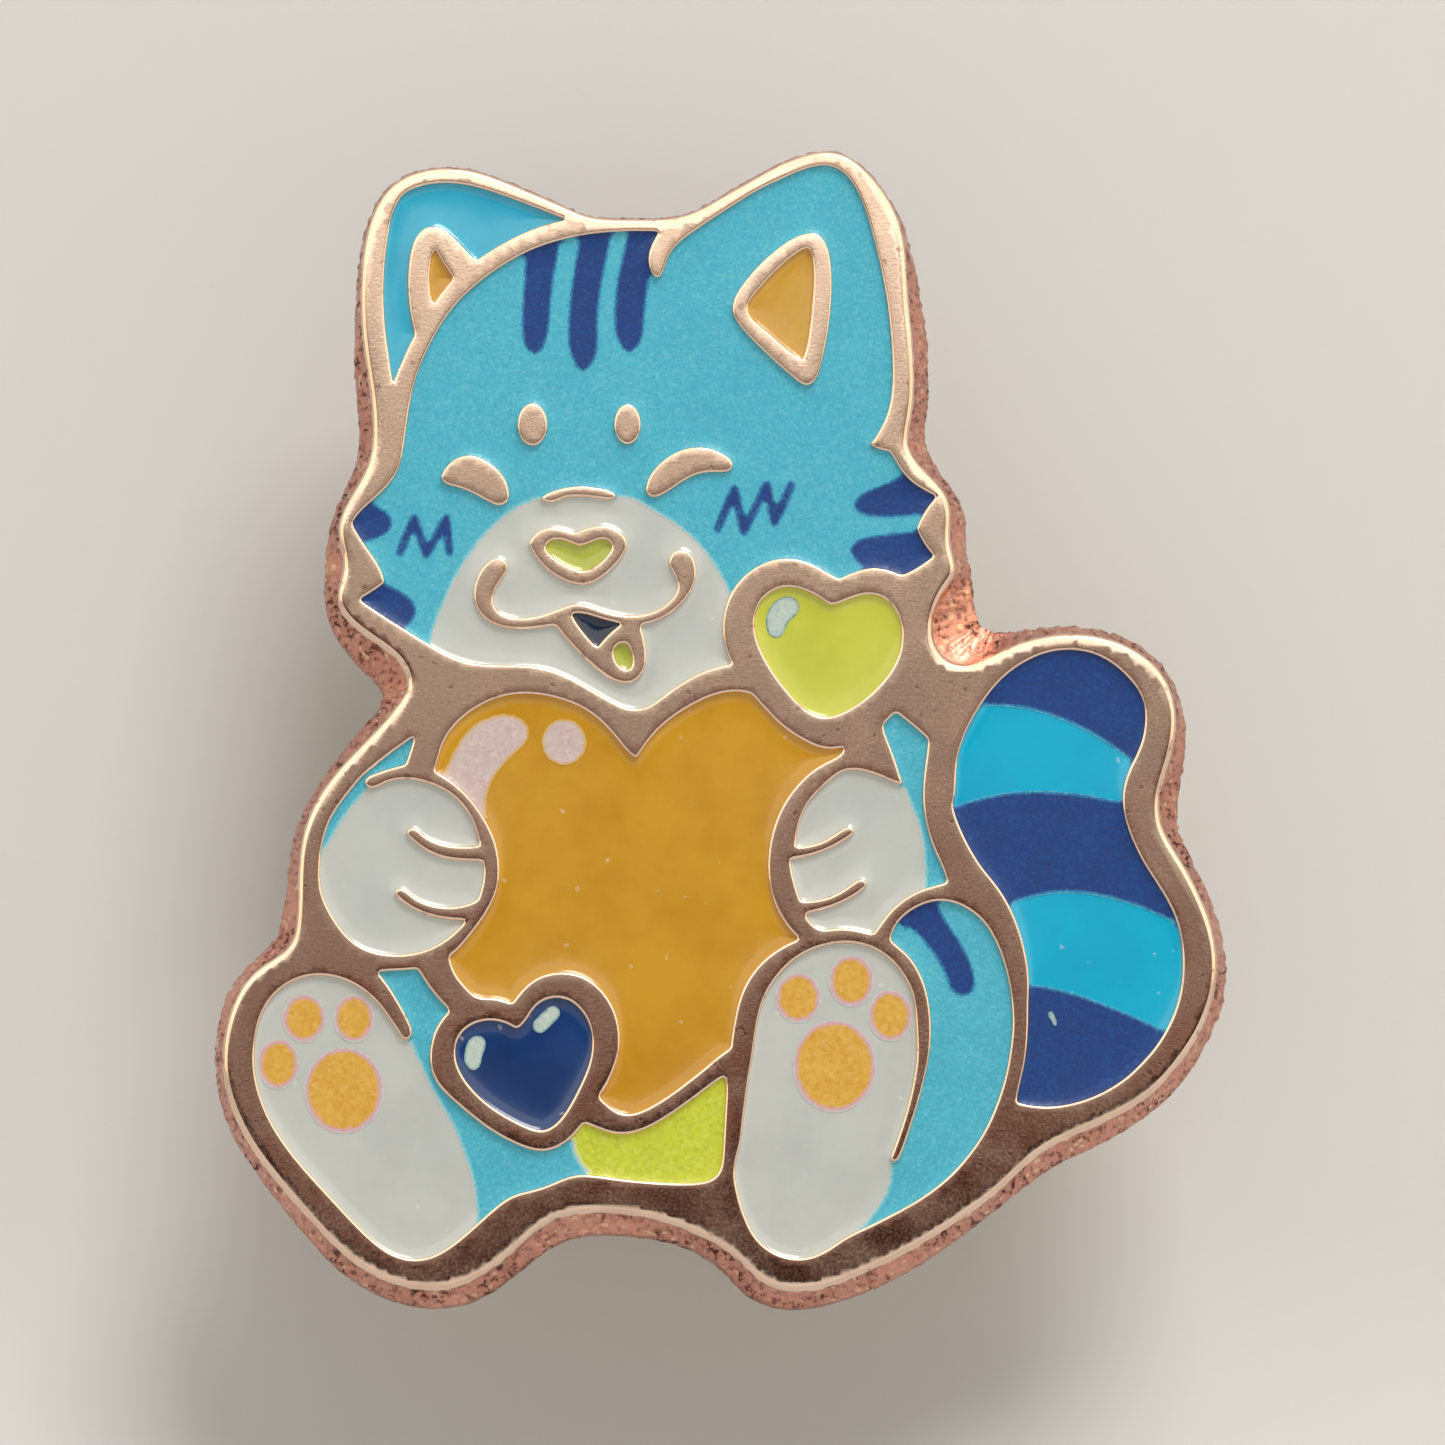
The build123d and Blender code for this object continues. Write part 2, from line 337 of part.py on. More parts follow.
right_paw = [
    [(4.60, 3.90), (5.00, 3.58), (5.34, 3.30)],
    [(5.64, 3.02), (5.60, 2.62), (5.53, 2.14), (5.47, 1.60), (5.46, 1.05), (5.52, 0.50),
     (5.63, 0.00), (5.78, -0.46), (5.96, -0.88), (6.13, -1.24)],
    [(6.24, -1.62), (5.82, -1.74), (5.40, -1.86), (5.03, -2.04), (4.69, -2.28),
     (4.38, -2.56), (4.12, -2.90)],
    [(3.84, -3.30), (3.42, -3.19), (3.00, -3.12), (2.56, -3.13), (2.16, -3.18),
     (1.93, -3.07)],
    [(1.66, -2.68), (1.96, -2.60), (2.38, -2.50), (2.85, -2.31), (3.26, -2.09),
     (3.55, -1.88), (3.68, -1.69), (3.58, -1.52), (3.38, -1.52), (3.12, -1.70),
     (2.78, -1.94), (2.38, -2.13), (1.94, -2.22)],
    [(1.50, -2.25), (1.40, -1.94), (1.28, -1.54), (1.20, -1.18)],
    [(1.17, -0.90), (1.58, -0.84), (2.06, -0.71), (2.50, -0.53), (2.90, -0.30),
     (3.16, -0.13), (3.27, 0.04), (3.16, 0.20), (2.95, 0.17), (2.64, -0.03),
     (2.28, -0.27), (1.86, -0.42)],
    [(1.34, -0.47), (1.38, -0.03), (1.48, 0.38), (1.66, 0.80), (1.94, 1.18), (2.28, 1.52),
     (2.62, 1.82), (2.90, 1.98), (3.16, 2.03), (3.56, 1.98), (4.02, 1.84), (4.44, 1.64)],
    [(4.84, 1.54), (4.76, 1.82), (4.63, 2.22), (4.48, 2.66), (4.34, 3.02), (4.24, 3.28)],
    [(4.20, 3.50), (4.38, 3.70)],
]
left_foot_belly = [
    [(-12.20, -4.60), (-11.86, -4.57), (-11.40, -4.55)],
    [(-10.95, -4.51), (-10.78, -4.78), (-10.53, -5.16), (-10.25, -5.50)],
    [(-9.92, -5.84), (-10.12, -6.05), (-10.34, -6.38), (-10.48, -6.80), (-10.54, -7.22),
     (-10.52, -7.62), (-10.43, -7.98), (-10.22, -8.33), (-9.89, -8.67), (-9.45, -9.05),
     (-9.00, -9.42), (-8.55, -9.75), (-8.08, -10.02), (-7.60, -10.25), (-7.20, -10.38),
     (-6.83, -10.42), (-6.47, -10.33), (-6.14, -10.15), (-5.88, -9.92), (-5.70, -9.72)],
    [(-5.52, -9.50), (-5.20, -9.63), (-4.80, -9.79), (-4.38, -9.87), (-3.95, -9.83),
     (-3.50, -9.68), (-3.02, -9.42), (-2.52, -9.09), (-2.03, -8.74), (-1.56, -8.38),
     (-1.26, -8.15)],
    [(-0.98, -7.98), (-0.93, -8.30), (-0.95, -8.72), (-0.98, -9.24), (-1.01, -9.80),
     (-1.04, -10.34), (-1.07, -10.76), (-1.16, -11.05), (-1.36, -11.27), (-1.70, -11.38),
     (-2.26, -11.42), (-2.95, -11.40), (-3.66, -11.35), (-4.36, -11.28), (-4.92, -11.20),
     (-5.34, -11.15), (-5.70, -11.14), (-6.06, -11.21), (-6.48, -11.39), (-6.96, -11.58),
     (-7.40, -11.69), (-7.74, -11.78), (-8.03, -11.92), (-8.31, -12.12), (-8.60, -12.37),
     (-8.94, -12.68), (-9.30, -13.00), (-9.70, -13.34), (-10.12, -13.63), (-10.53, -13.82),
     (-10.95, -13.89), (-11.38, -13.84), (-11.80, -13.67), (-12.22, -13.38),
     (-12.64, -13.00), (-13.06, -12.57), (-13.49, -12.11), (-13.91, -11.65),
     (-14.33, -11.20), (-14.76, -10.71), (-15.17, -10.18), (-15.53, -9.64),
     (-15.81, -9.09), (-16.02, -8.54), (-16.15, -8.03), (-16.21, -7.54), (-16.20, -7.04),
     (-16.13, -6.52), (-15.98, -6.00), (-15.71, -5.50), (-15.24, -5.05), (-14.78, -4.82),
     (-14.26, -4.71), (-13.94, -4.72), (-13.48, -4.80), (-12.94, -5.03), (-12.45, -5.39),
     (-12.08, -5.80), (-11.78, -6.24), (-11.52, -6.64), (-11.36, -6.83), (-11.17, -6.80),
     (-11.07, -6.54), (-11.22, -6.12), (-11.50, -5.61), (-11.80, -5.11)],
]
small_heart = [
    [(-7.67, -6.47), (-7.38, -6.14), (-7.17, -5.78), (-6.88, -5.52), (-6.46, -5.41),
     (-6.05, -5.48), (-5.71, -5.74), (-5.45, -6.10), (-5.30, -6.54), (-5.27, -6.98),
     (-5.35, -7.47), (-5.53, -7.97), (-5.77, -8.46), (-6.02, -8.94), (-6.26, -9.30),
     (-6.54, -9.58), (-6.86, -9.73), (-7.24, -9.65), (-7.67, -9.45), (-8.10, -9.22),
     (-8.52, -8.95), (-8.94, -8.60), (-9.30, -8.20), (-9.54, -7.82), (-9.68, -7.46),
     (-9.70, -7.05), (-9.58, -6.67), (-9.30, -6.38), (-8.94, -6.21), (-8.52, -6.16),
     (-8.15, -6.23), (-7.88, -6.37)],
]
right_foot_leg = [
    [(4.42, -3.50), (4.47, -3.30), (4.63, -2.98), (4.90, -2.70), (5.24, -2.47),
     (5.60, -2.32), (5.92, -2.25), (6.22, -2.26), (6.54, -2.33), (6.93, -2.52),
     (7.28, -2.78), (7.58, -3.14), (7.84, -3.62), (8.04, -4.12), (8.20, -4.70),
     (8.30, -5.25), (8.35, -5.75)],
    [(8.36, -6.26), (8.32, -6.78), (8.24, -7.33),
     (8.13, -7.88), (7.99, -8.38), (7.81, -8.88), (7.61, -9.36), (7.38, -9.80),
     (7.12, -10.20), (6.84, -10.56), (6.52, -10.94), (6.12, -11.32), (5.66, -11.68),
     (5.18, -12.00), (4.67, -12.28), (4.20, -12.52), (3.76, -12.75), (3.34, -12.95),
     (2.98, -13.12), (2.62, -13.36), (2.21, -13.63), (1.80, -13.80), (1.36, -13.85),
     (0.95, -13.78), (0.58, -13.63), (0.23, -13.38), (-0.05, -13.04), (-0.26, -12.62)],
    [(-0.43, -12.14), (-0.55, -11.68), (-0.63, -11.30), (-0.64, -10.96), (-0.58, -10.62),
     (-0.49, -10.32), (-0.42, -9.92), (-0.37, -9.44), (-0.30, -8.88), (-0.23, -8.32),
     (-0.16, -7.86), (-0.08, -7.42), (0.00, -6.87), (0.07, -6.32), (0.20, -5.75),
     (0.39, -5.25), (0.67, -4.81), (1.02, -4.40), (1.44, -4.06), (1.94, -3.81),
     (2.48, -3.66), (2.98, -3.61), (3.50, -3.68), (3.96, -3.86), (4.32, -4.11),
     (4.63, -4.42), (4.90, -4.82), (5.10, -5.24), (5.19, -5.68), (5.22, -6.12),
     (5.24, -6.56), (5.26, -6.95), (5.25, -7.35), (5.19, -7.82), (5.09, -8.32),
     (4.96, -8.88), (4.81, -9.38), (4.63, -9.92), (4.48, -10.32)],
    [(4.39, -10.60), (4.46, -10.76), (4.62, -10.74), (4.72, -10.54), (4.86, -10.20), (5.02, -9.74),
     (5.18, -9.24), (5.34, -8.72), (5.50, -8.12), (5.62, -7.56), (5.70, -7.08),
     (5.73, -6.52), (5.72, -6.02), (5.66, -5.52), (5.56, -5.05), (5.40, -4.63),
     (5.20, -4.26), (4.95, -3.95), (4.67, -3.72)],
]
tail = [
    [(6.45, 0.88), (6.55, 1.42), (6.56, 1.95), (6.62, 2.48), (6.78, 3.02), (7.04, 3.60),
     (7.40, 4.20), (7.88, 4.85), (8.46, 5.36), (9.08, 5.72), (9.70, 5.93), (10.34, 5.98),
     (11.00, 5.88), (11.66, 5.55), (12.20, 5.05), (12.54, 4.60), (12.70, 4.16),
     (12.72, 3.70), (12.66, 3.22), (12.52, 2.78), (12.32, 2.36), (12.12, 1.94),
     (11.99, 1.48), (11.96, 0.98), (12.04, 0.44), (12.20, -0.05), (12.42, -0.58),
     (12.70, -1.10), (13.02, -1.60), (13.34, -2.10), (13.58, -2.56), (13.76, -3.04),
     (13.87, -3.58), (13.91, -4.12), (13.89, -4.66), (13.82, -5.16), (13.69, -5.64),
     (13.52, -6.08), (13.31, -6.48), (13.09, -6.84), (12.81, -7.20), (12.47, -7.56),
     (12.10, -7.92), (11.68, -8.22), (11.18, -8.50), (10.62, -8.72), (10.06, -8.86),
     (9.50, -8.92), (8.96, -8.88)],
    [(8.50, -8.78), (8.55, -8.44), (8.66, -8.00), (8.77, -7.52), (8.84, -6.98),
     (8.88, -6.42), (8.89, -5.86), (8.90, -5.30), (8.92, -4.80), (8.86, -4.20),
     (8.72, -3.52), (8.50, -2.84), (8.22, -2.24), (7.88, -1.72), (7.70, -1.50),
     (7.37, -1.10), (7.06, -0.60), (6.77, -0.04), (6.56, 0.48)],
]

# ---------------------------------------------------------------- printed inks
muzzle = [
    [(-10.60, 4.80), (-10.55, 6.10), (-10.42, 6.70), (-10.12, 7.44), (-9.70, 8.38),
     (-9.18, 9.22), (-8.52, 10.00), (-7.80, 10.58), (-7.00, 10.95)],
    [(-5.60, 11.10), (-4.50, 11.00)],
    [(-4.00, 10.88), (-3.38, 10.54), (-2.62, 10.10), (-2.00, 9.60), (-1.50, 9.00),
     (-1.12, 8.40)],
    [(-0.85, 7.80), (-0.40, 4.00), (-3.90, 3.20), (-8.00, 4.60)],
]
forehead_stripes = [
    [[(-7.60, 20.20), (-7.52, 18.60), (-7.64, 17.20), (-7.66, 16.30), (-7.40, 15.66),
      (-7.12, 15.58), (-6.78, 15.98), (-6.66, 16.60), (-6.62, 17.40), (-6.52, 18.20),
      (-6.38, 19.00)],
     [(-6.15, 20.20), (-6.90, 20.30)]],
    [[(-5.60, 20.30), (-5.94, 18.60), (-6.08, 17.50), (-6.16, 16.50), (-6.05, 15.50),
      (-5.62, 14.95), (-5.18, 15.34), (-5.07, 16.30), (-5.06, 17.40), (-4.86, 18.50)],
     [(-4.50, 20.30), (-5.00, 20.40)]],
    [[(-4.08, 20.30), (-4.38, 18.80), (-4.60, 17.80), (-4.64, 16.80), (-4.50, 15.98),
      (-4.10, 15.62), (-3.70, 15.92), (-3.56, 16.80), (-3.50, 17.60), (-3.30, 18.60)],
     [(-3.00, 20.30), (-3.60, 20.40)]],
]
cheek_spots = [
    [[(-13.40, 10.60), (-12.90, 10.90), (-12.35, 10.72), (-11.92, 10.48), (-11.72, 10.12),
      (-11.88, 9.76), (-12.28, 9.54), (-12.70, 9.40), (-13.30, 9.50)]],
    [[(-13.10, 7.80), (-12.20, 8.30), (-11.72, 7.98), (-11.20, 7.72), (-10.95, 7.30),
      (-11.05, 6.88), (-11.42, 6.60), (-12.00, 6.30), (-13.00, 6.90)]],
    [[(3.16, 10.78), (3.42, 11.14), (3.92, 11.35), (4.40, 11.55), (4.84, 11.80),
      (5.60, 12.00), (6.40, 11.20), (6.00, 10.50), (5.30, 10.36), (4.60, 10.30),
      (3.84, 10.30), (3.30, 10.46)]],
    [[(3.06, 9.30), (3.22, 9.58), (3.80, 9.76), (4.60, 9.86), (5.25, 9.92), (5.80, 9.70),
      (6.00, 9.00), (5.40, 8.40), (4.60, 8.20), (3.80, 8.40), (3.40, 8.74), (3.16, 9.02)]],
]
blush_width = 0.36
blush_strokes = [
    [(-11.55, 9.15), (-11.10, 10.25), (-10.70, 9.05), (-10.05, 10.25), (-9.95, 9.15)],
    [(-1.20, 9.95), (-0.65, 11.25), (-0.35, 9.85), (0.40, 11.40), (0.65, 10.15), (1.20, 11.40)],
]
tail_tip = [
    [(6.40, 4.20), (7.40, 4.14), (8.40, 4.13), (9.14, 4.00), (10.00, 3.72), (11.00, 3.24),
     (11.72, 2.78), (12.20, 2.36)],
    [(13.40, 1.80), (14.00, 6.00), (10.00, 7.00), (6.00, 6.00)],
]
tail_band = [
    [(6.20, 0.78), (6.60, 0.92), (7.30, 1.14), (8.20, 1.34), (9.20, 1.40), (10.20, 1.35),
     (11.20, 1.20), (12.00, 1.03)],
    [(13.20, 0.70), (14.60, -1.60)],
    [(14.40, -3.30), (13.70, -2.96), (13.10, -2.66), (12.30, -2.34), (11.32, -2.07),
     (10.50, -1.95), (9.80, -1.96), (9.00, -2.10), (8.30, -2.34)],
    [(7.60, -2.60), (6.60, -1.20)],
]
tail_base = [
    [(8.20, -4.94), (8.95, -4.93), (9.66, -5.02), (10.36, -5.20), (11.00, -5.42),
     (11.62, -5.67), (12.20, -5.90), (12.70, -6.12), (13.20, -6.38)],
    [(14.20, -6.80), (13.00, -9.60), (8.00, -9.60)],
]
leg_stripe = [
    [(4.50, -2.96), (4.80, -2.40), (5.90, -1.90), (6.05, -2.52), (6.44, -3.14),
     (6.78, -3.64), (7.02, -4.12), (7.18, -4.62), (7.21, -5.00), (7.07, -5.27),
     (6.80, -5.38), (6.50, -5.30), (6.30, -5.08), (6.20, -4.74), (6.02, -4.33),
     (5.74, -3.92), (5.46, -3.56), (5.12, -3.20)],
]
left_arm_blue = [
    [(-10.60, 3.40), (-11.00, 1.90), (-12.30, 1.72), (-12.62, 1.30), (-12.92, 0.96),
     (-13.28, 0.53), (-13.57, 0.04), (-13.78, -0.32), (-13.96, -0.70)],
    [(-14.40, -0.70), (-14.20, 1.20), (-12.60, 3.20)],
]
right_arm_blue = [
    [(4.00, 3.00), (4.60, 1.72), (4.84, 1.50), (4.94, 1.22), (5.12, 0.74), (5.31, 0.34),
     (5.40, -0.10), (5.47, -0.50), (5.50, -0.96), (5.52, -1.36)],
    [(5.50, -2.20), (6.80, -2.00), (6.40, 0.00)],
    [(6.20, 3.00), (4.80, 4.40), (3.80, 3.90)],
]
belly_blue = [
    [(-13.00, -4.20), (-12.18, -4.80), (-11.60, -5.90), (-11.18, -6.80), (-11.10, -7.12),
     (-10.94, -7.42), (-10.74, -7.82), (-10.52, -8.31), (-10.24, -8.81), (-9.90, -9.37),
     (-9.62, -9.94), (-9.40, -10.56), (-9.19, -11.14), (-9.08, -11.70), (-9.00, -12.24)],
    [(-9.06, -13.40), (-7.00, -12.60), (-5.32, -11.60)],
    [(-5.44, -10.98), (-5.63, -10.78), (-5.82, -10.43), (-5.88, -10.15)],
    [(-5.82, -9.40), (-8.00, -8.00), (-9.40, -4.20)],
]
leg_blue = [
    [(4.39, -10.90), (4.36, -11.36), (4.18, -11.84), (3.90, -12.26), (3.58, -12.60)],
    [(3.20, -13.60), (6.60, -12.60), (9.20, -9.00), (9.40, -5.00), (7.60, -1.60),
     (5.00, -1.70), (4.00, -2.80)],
    [(4.18, -3.72), (4.64, -4.05), (5.00, -4.48), (5.26, -5.00), (5.42, -5.60),
     (5.48, -6.30), (5.49, -7.00), (5.41, -7.65), (5.28, -8.30), (5.12, -8.95),
     (4.94, -9.60), (4.72, -10.20), (4.53, -10.60)],
]
belly_lime = [
    [(-5.44, -10.98), (-5.63, -10.78), (-5.82, -10.43), (-5.88, -10.15)],
    [(-5.82, -9.40), (-4.00, -9.00), (-0.60, -7.40)],
    [(-0.40, -11.00), (-1.60, -12.20), (-5.30, -11.60)],
]
# Toe and sole pads: centre x, centre z, half width, half height
pads = [
    (-15.43, -7.57, 0.68, 0.83), (-14.61, -6.09, 0.71, 0.80), (-12.99, -6.09, 0.67, 0.79),
    (-13.31, -8.42, 1.29, 1.41), (1.41, -5.39, 0.75, 0.83), (3.14, -4.83, 0.74, 0.85),
    (4.40, -5.96, 0.72, 0.85), (2.59, -7.61, 1.36, 1.51),
]
heart_shine = [
    [(-10.60, 1.40), (-10.05, 2.00), (-9.94, 2.34), (-9.78, 2.66), (-9.46, 3.20),
     (-9.00, 3.62), (-8.42, 3.84), (-7.84, 3.84), (-7.44, 3.60), (-7.30, 3.26),
     (-7.40, 2.96), (-7.68, 2.64), (-8.02, 2.36), (-8.30, 2.01), (-8.54, 1.64),
     (-8.68, 1.28), (-8.73, 0.88), (-8.70, 0.50), (-9.20, 0.20)],
]
shine_dot = (-6.20, 2.93, 0.73, 0.77)
cheek_heart_shine = [
    [(0.34, 6.88), (0.50, 7.42), (0.90, 7.72), (1.30, 7.72), (1.50, 7.40), (1.36, 7.10),
     (1.12, 6.96), (1.00, 6.62), (0.80, 6.34), (0.50, 6.38)],
]
small_heart_shine = [
    [(-9.37, -6.97), (-9.22, -6.70), (-8.94, -6.61), (-8.73, -6.73), (-8.71, -7.05),
     (-8.86, -7.33), (-8.89, -7.66), (-9.08, -7.81), (-9.33, -7.68), (-9.45, -7.33)],
]
shine_capsule = ((-6.97, -6.32), (-6.55, -5.90), 0.24)
tail_sparkle = [
    [(9.54, -5.78), (9.64, -5.76), (9.76, -5.98), (9.83, -6.26), (9.78, -6.34),
     (9.66, -6.20)],
]


# ---------------------------------------------------------------- helpers
def placed(point, y=0.0):
    """A point of the drawing as a point in space, at depth y."""
    return Vector(point[0] * scale, y, point[1] * scale)


def evened(points, closed):
    """Hand-set points with each one eased a little towards its neighbours."""
    count = len(points)
    result = []
    for i in range(count):
        if not closed and i in (0, count - 1):
            result.append(points[i])
            continue
        before = points[i - 1]
        here = points[i]
        after = points[(i + 1) % count]
        result.append(tuple((before[k] + 6 * here[k] + after[k]) / 8 for k in (0, 1)))
    return result


def closed_wire(runs, y=0.0):
    """A closed wire through smooth runs that meet at corners."""
    if len(runs) == 1:
        ring = [placed(p, y) for p in evened(runs[0], True)]
        return Wire([Edge.make_spline(ring, periodic=True)])
    edges = []
    for i, run in enumerate(runs):
        points = run + [runs[(i + 1) % len(runs)][0]]
        if len(points) == 2:
            edges.append(Edge.make_line(placed(points[0], y), placed(points[1], y)))
            continue
        edges.append(Edge.make_spline([placed(p, y) for p in evened(points, False)]))
    return Wire(edges)


def slab(wire, y_back, y_front):
    """The solid inside a wire drawn at y = 0, between two depths."""
    face = Face(wire).moved(Location((0, y_back, 0)))
    return extrude(face, amount=abs(y_front - y_back), dir=(0, math.copysign(1, y_front - y_back), 0))


def ellipse_wire(cx, cz, half_x, half_z, turn=0.0):
    """An upright or turned ellipse in the face of the pin."""
    plane = Plane(placed((cx, cz)), x_dir=(1, 0, 0), z_dir=(0, -1, 0))
    ellipse = Edge.make_ellipse(half_x * scale, half_z * scale, plane.rotated((0, 0, turn)))
    return Wire([ellipse])


def circle_wire(x, z, radius):
    """An upright circle at its real place and size, which the drawing's scale leaves alone."""
    return Wire([Edge.make_circle(radius, Plane((x, 0, z), x_dir=(1, 0, 0), z_dir=(0, -1, 0)))])


def stroke(points, width, y_back, y_front):
    """A stroke of even width along a zigzag line, with round ends and turns."""
    pieces = []
    for start, end in zip(points, points[1:]):
        length = math.dist(start, end)
        across = ((end[1] - start[1]) / length * width / 2, (start[0] - end[0]) / length * width / 2)
        corners = [(start[0] + across[0], start[1] + across[1]),
                   (end[0] + across[0], end[1] + across[1]),
                   (end[0] - across[0], end[1] - across[1]),
                   (start[0] - across[0], start[1] - across[1])]
        bar = Wire.make_polygon([placed(p) for p in corners], close=True)
        pieces.append(slab(bar, y_back, y_front))
    for point in points:
        pieces.append(slab(ellipse_wire(*point, width / 2, width / 2), y_back, y_front))
    return pieces[0].fuse(*pieces[1:])


def save(name, shape, colour):
    """Write one named node as a STEP file of closed solids."""
    solids = shape.solids()
    node = solids[0] if len(solids) == 1 else Compound(children=list(solids))
    node.label = name
    node.color = Color(*colour)
    export_step(node, f"parts/{name}.step")
    print(f"{name:26s} solids {len(solids):2d}  volume {sum(s.volume for s in solids):9.3f}")
    return node


# ---------------------------------------------------------------- base plate
def rim_ring(index_blend, grow, y):
    """A rim outline: 0 is the face edge and 1 the skirt; grow moves it outwards."""
    points = []
    count = len(rim_stations)
    face_edge = evened([s[0] for s in rim_stations], True)
    skirt = evened([s[1] for s in rim_stations], True)
    mixed = [tuple(face_edge[i][k] * (1 - index_blend) + skirt[i][k] * index_blend for k in (0, 1))
             for i in range(count)]
    for i in range(count):
        before = mixed[i - 1]
        after = mixed[(i + 1) % count]
        run = math.dist(before, after)
        normal = ((before[1] - after[1]) / run, (after[0] - before[0]) / run)
        points.append((mixed[i][0] + normal[0] * grow, mixed[i][1] + normal[1] * grow))
    return Wire([Edge.make_spline([placed(p, y) for p in points], periodic=True)])


rings = [
    rim_ring(0, -rim_round * 0.9, face_y),
    rim_ring(0, -rim_round * 0.3, face_y + rim_round * 0.3),
    rim_ring(0, rim_round * 0.15, face_y + rim_round),
    rim_ring(1, 0, -skirt_height),
    rim_ring(1, 0, -skirt_chamfer),
    rim_ring(1, -skirt_chamfer, 0),
]
blank = Solid.make_loft(rings, ruled=True)

cell_outlines = {
    "left_ear_outer": left_ear_outer, "left_ear_inner": left_ear_inner,
    "right_ear_inner": right_ear_inner, "nose": nose, "mouth": mouth, "tongue": tongue,
    "cheek_heart": cheek_heart, "big_heart": big_heart, "small_heart": small_heart,
    "left_paw": left_paw, "right_paw": right_paw, "left_foot_belly": left_foot_belly,
    "right_foot_leg": right_foot_leg, "tail": tail,
}
forehead_dots = [(-7.25, 13.33, 0.50, 0.72), (-4.15, 13.35, 0.48, 0.68, -22)]
head_islands = [closed_wire(o) for o in (left_eye, right_eye, bridge_line, right_ear_ring,
                                         nose_ring, mouth_line)]
head_islands += [ellipse_wire(*dot) for dot in forehead_dots]


def cell_slab(name, y_back, y_front):
    """One enamel cell between two depths, with the raised metal left out of the head."""
    if name != "head":
        return slab(closed_wire(cell_outlines[name]), y_back, y_front)
    body = slab(closed_wire(head), y_back, y_front)
    islands = [slab(wire, y_back + tool_past, y_front - tool_past) for wire in head_islands]
    return body.cut(*islands)


cell_names = list(cell_outlines) + ["head"]
cutters = [cell_slab(name, floor_y, face_y - tool_past) for name in cell_names]
seat_radius = post_head_radius + solder_width + seat_clearance
seats = [slab(circle_wire(side * post_spacing / 2, 0, seat_radius), -seat_depth, tool_past)
         for side in (-1, 1)]
base_plate = blank.cut(*cutters, *seats)

gold = (0.72, 0.46, 0.36)
save("base_plate", base_plate, gold)

enamel_colours = {
    "left_ear_outer": (0.04, 0.45, 0.64), "left_ear_inner": (0.64, 0.36, 0.05),
    "right_ear_inner": (0.64, 0.36, 0.05), "nose": (0.48, 0.53, 0.08),
    "mouth": (0.01, 0.02, 0.06), "tongue": (0.48, 0.53, 0.08),
    "cheek_heart": (0.61, 0.63, 0.07), "big_heart": (0.63, 0.32, 0.02),
    "small_heart": (0.01, 0.05, 0.19), "left_paw": (0.58, 0.60, 0.56),
    "right_paw": (0.58, 0.60, 0.56), "left_foot_belly": (0.58, 0.60, 0.56),
    "right_foot_leg": (0.58, 0.60, 0.56), "tail": (0.0, 0.45, 0.67),
    "head": (0.58, 0.60, 0.56),
}
for name in cell_names:
    save("enamel_" + name, cell_slab(name, floor_y, enamel_y), enamel_colours[name])


# ---------------------------------------------------------------- printed inks
def ink(*outlines):
    """Printed shapes as loose films on top of the enamel, not yet trimmed to a cell."""
    return [slab(closed_wire(outline), enamel_y, ink_y) for outline in outlines]


def film(name):
    """The whole surface of one cell as a film."""
    return cell_slab(name, enamel_y, ink_y)


def solids_of(result):
    """The solids of a shape or of a list of shapes."""
    if isinstance(result, list):
        return [solid for shape in result for solid in shape.solids()]
    return list(result.solids())


def trimmed(cell_film, shapes):
    """The parts of the printed shapes that lie in one cell."""
    return [solid for shape in shapes for solid in solids_of(cell_film.intersect(shape))]


def gathered(groups):
    """Every solid of several results, as one node."""
    return Compound(children=[solid for group in groups for solid in solids_of(group)])


head_film = film("head")
foot_film = film("left_foot_belly")
leg_film = film("right_foot_leg")
tail_film = film("tail")
sparkle = ink(tail_sparkle)
strokes = [stroke(points, blush_width, enamel_y, ink_y) for points in blush_strokes]
dark_on_head = ink(*forehead_stripes, *cheek_spots) + strokes
dark_on_leg = ink(leg_stripe)

dark_blue = [
    trimmed(head_film, dark_on_head),
    trimmed(leg_film, dark_on_leg),
    trimmed(tail_film, ink(tail_tip, tail_band)),
    trimmed(tail_film, ink(tail_base))[0].cut(*sparkle),
]
light_blue = [
    head_film.cut(*ink(muzzle), *dark_on_head),
    trimmed(film("left_paw"), ink(left_arm_blue)),
    trimmed(film("right_paw"), ink(right_arm_blue)),
    trimmed(foot_film, ink(belly_blue)),
    trimmed(leg_film, ink(leg_blue))[0].cut(*dark_on_leg),
]
pad_films = [slab(ellipse_wire(*pad), enamel_y, ink_y) for pad in pads]
pad_ink = [trimmed(foot_film, pad_films[:4]), trimmed(leg_film, pad_films[4:])]
pink_shine = [
    trimmed(film("big_heart"), ink(heart_shine)),
    slab(ellipse_wire(*shine_dot), enamel_y, ink_y),
]
capsule_start, capsule_end, capsule_radius = shine_capsule
pale_shine = [
    trimmed(film("cheek_heart"), ink(cheek_heart_shine)),
    trimmed(film("small_heart"), ink(small_heart_shine)),
    stroke([capsule_start, capsule_end], 2 * capsule_radius, enamel_y, ink_y),
    sparkle,
]

save("ink_light_blue", gathered(light_blue), (0.10, 0.50, 0.63))
save("ink_dark_blue", gathered(dark_blue), (0.01, 0.05, 0.23))
save("ink_lime", gathered([trimmed(foot_film, ink(belly_lime))]), (0.61, 0.65, 0.04))
save("ink_pads", gathered(pad_ink), (0.74, 0.42, 0.07))
save("ink_pink_shine", gathered(pink_shine), (0.65, 0.49, 0.45))
save("ink_pale_shine", gathered(pale_shine), (0.52, 0.62, 0.62))


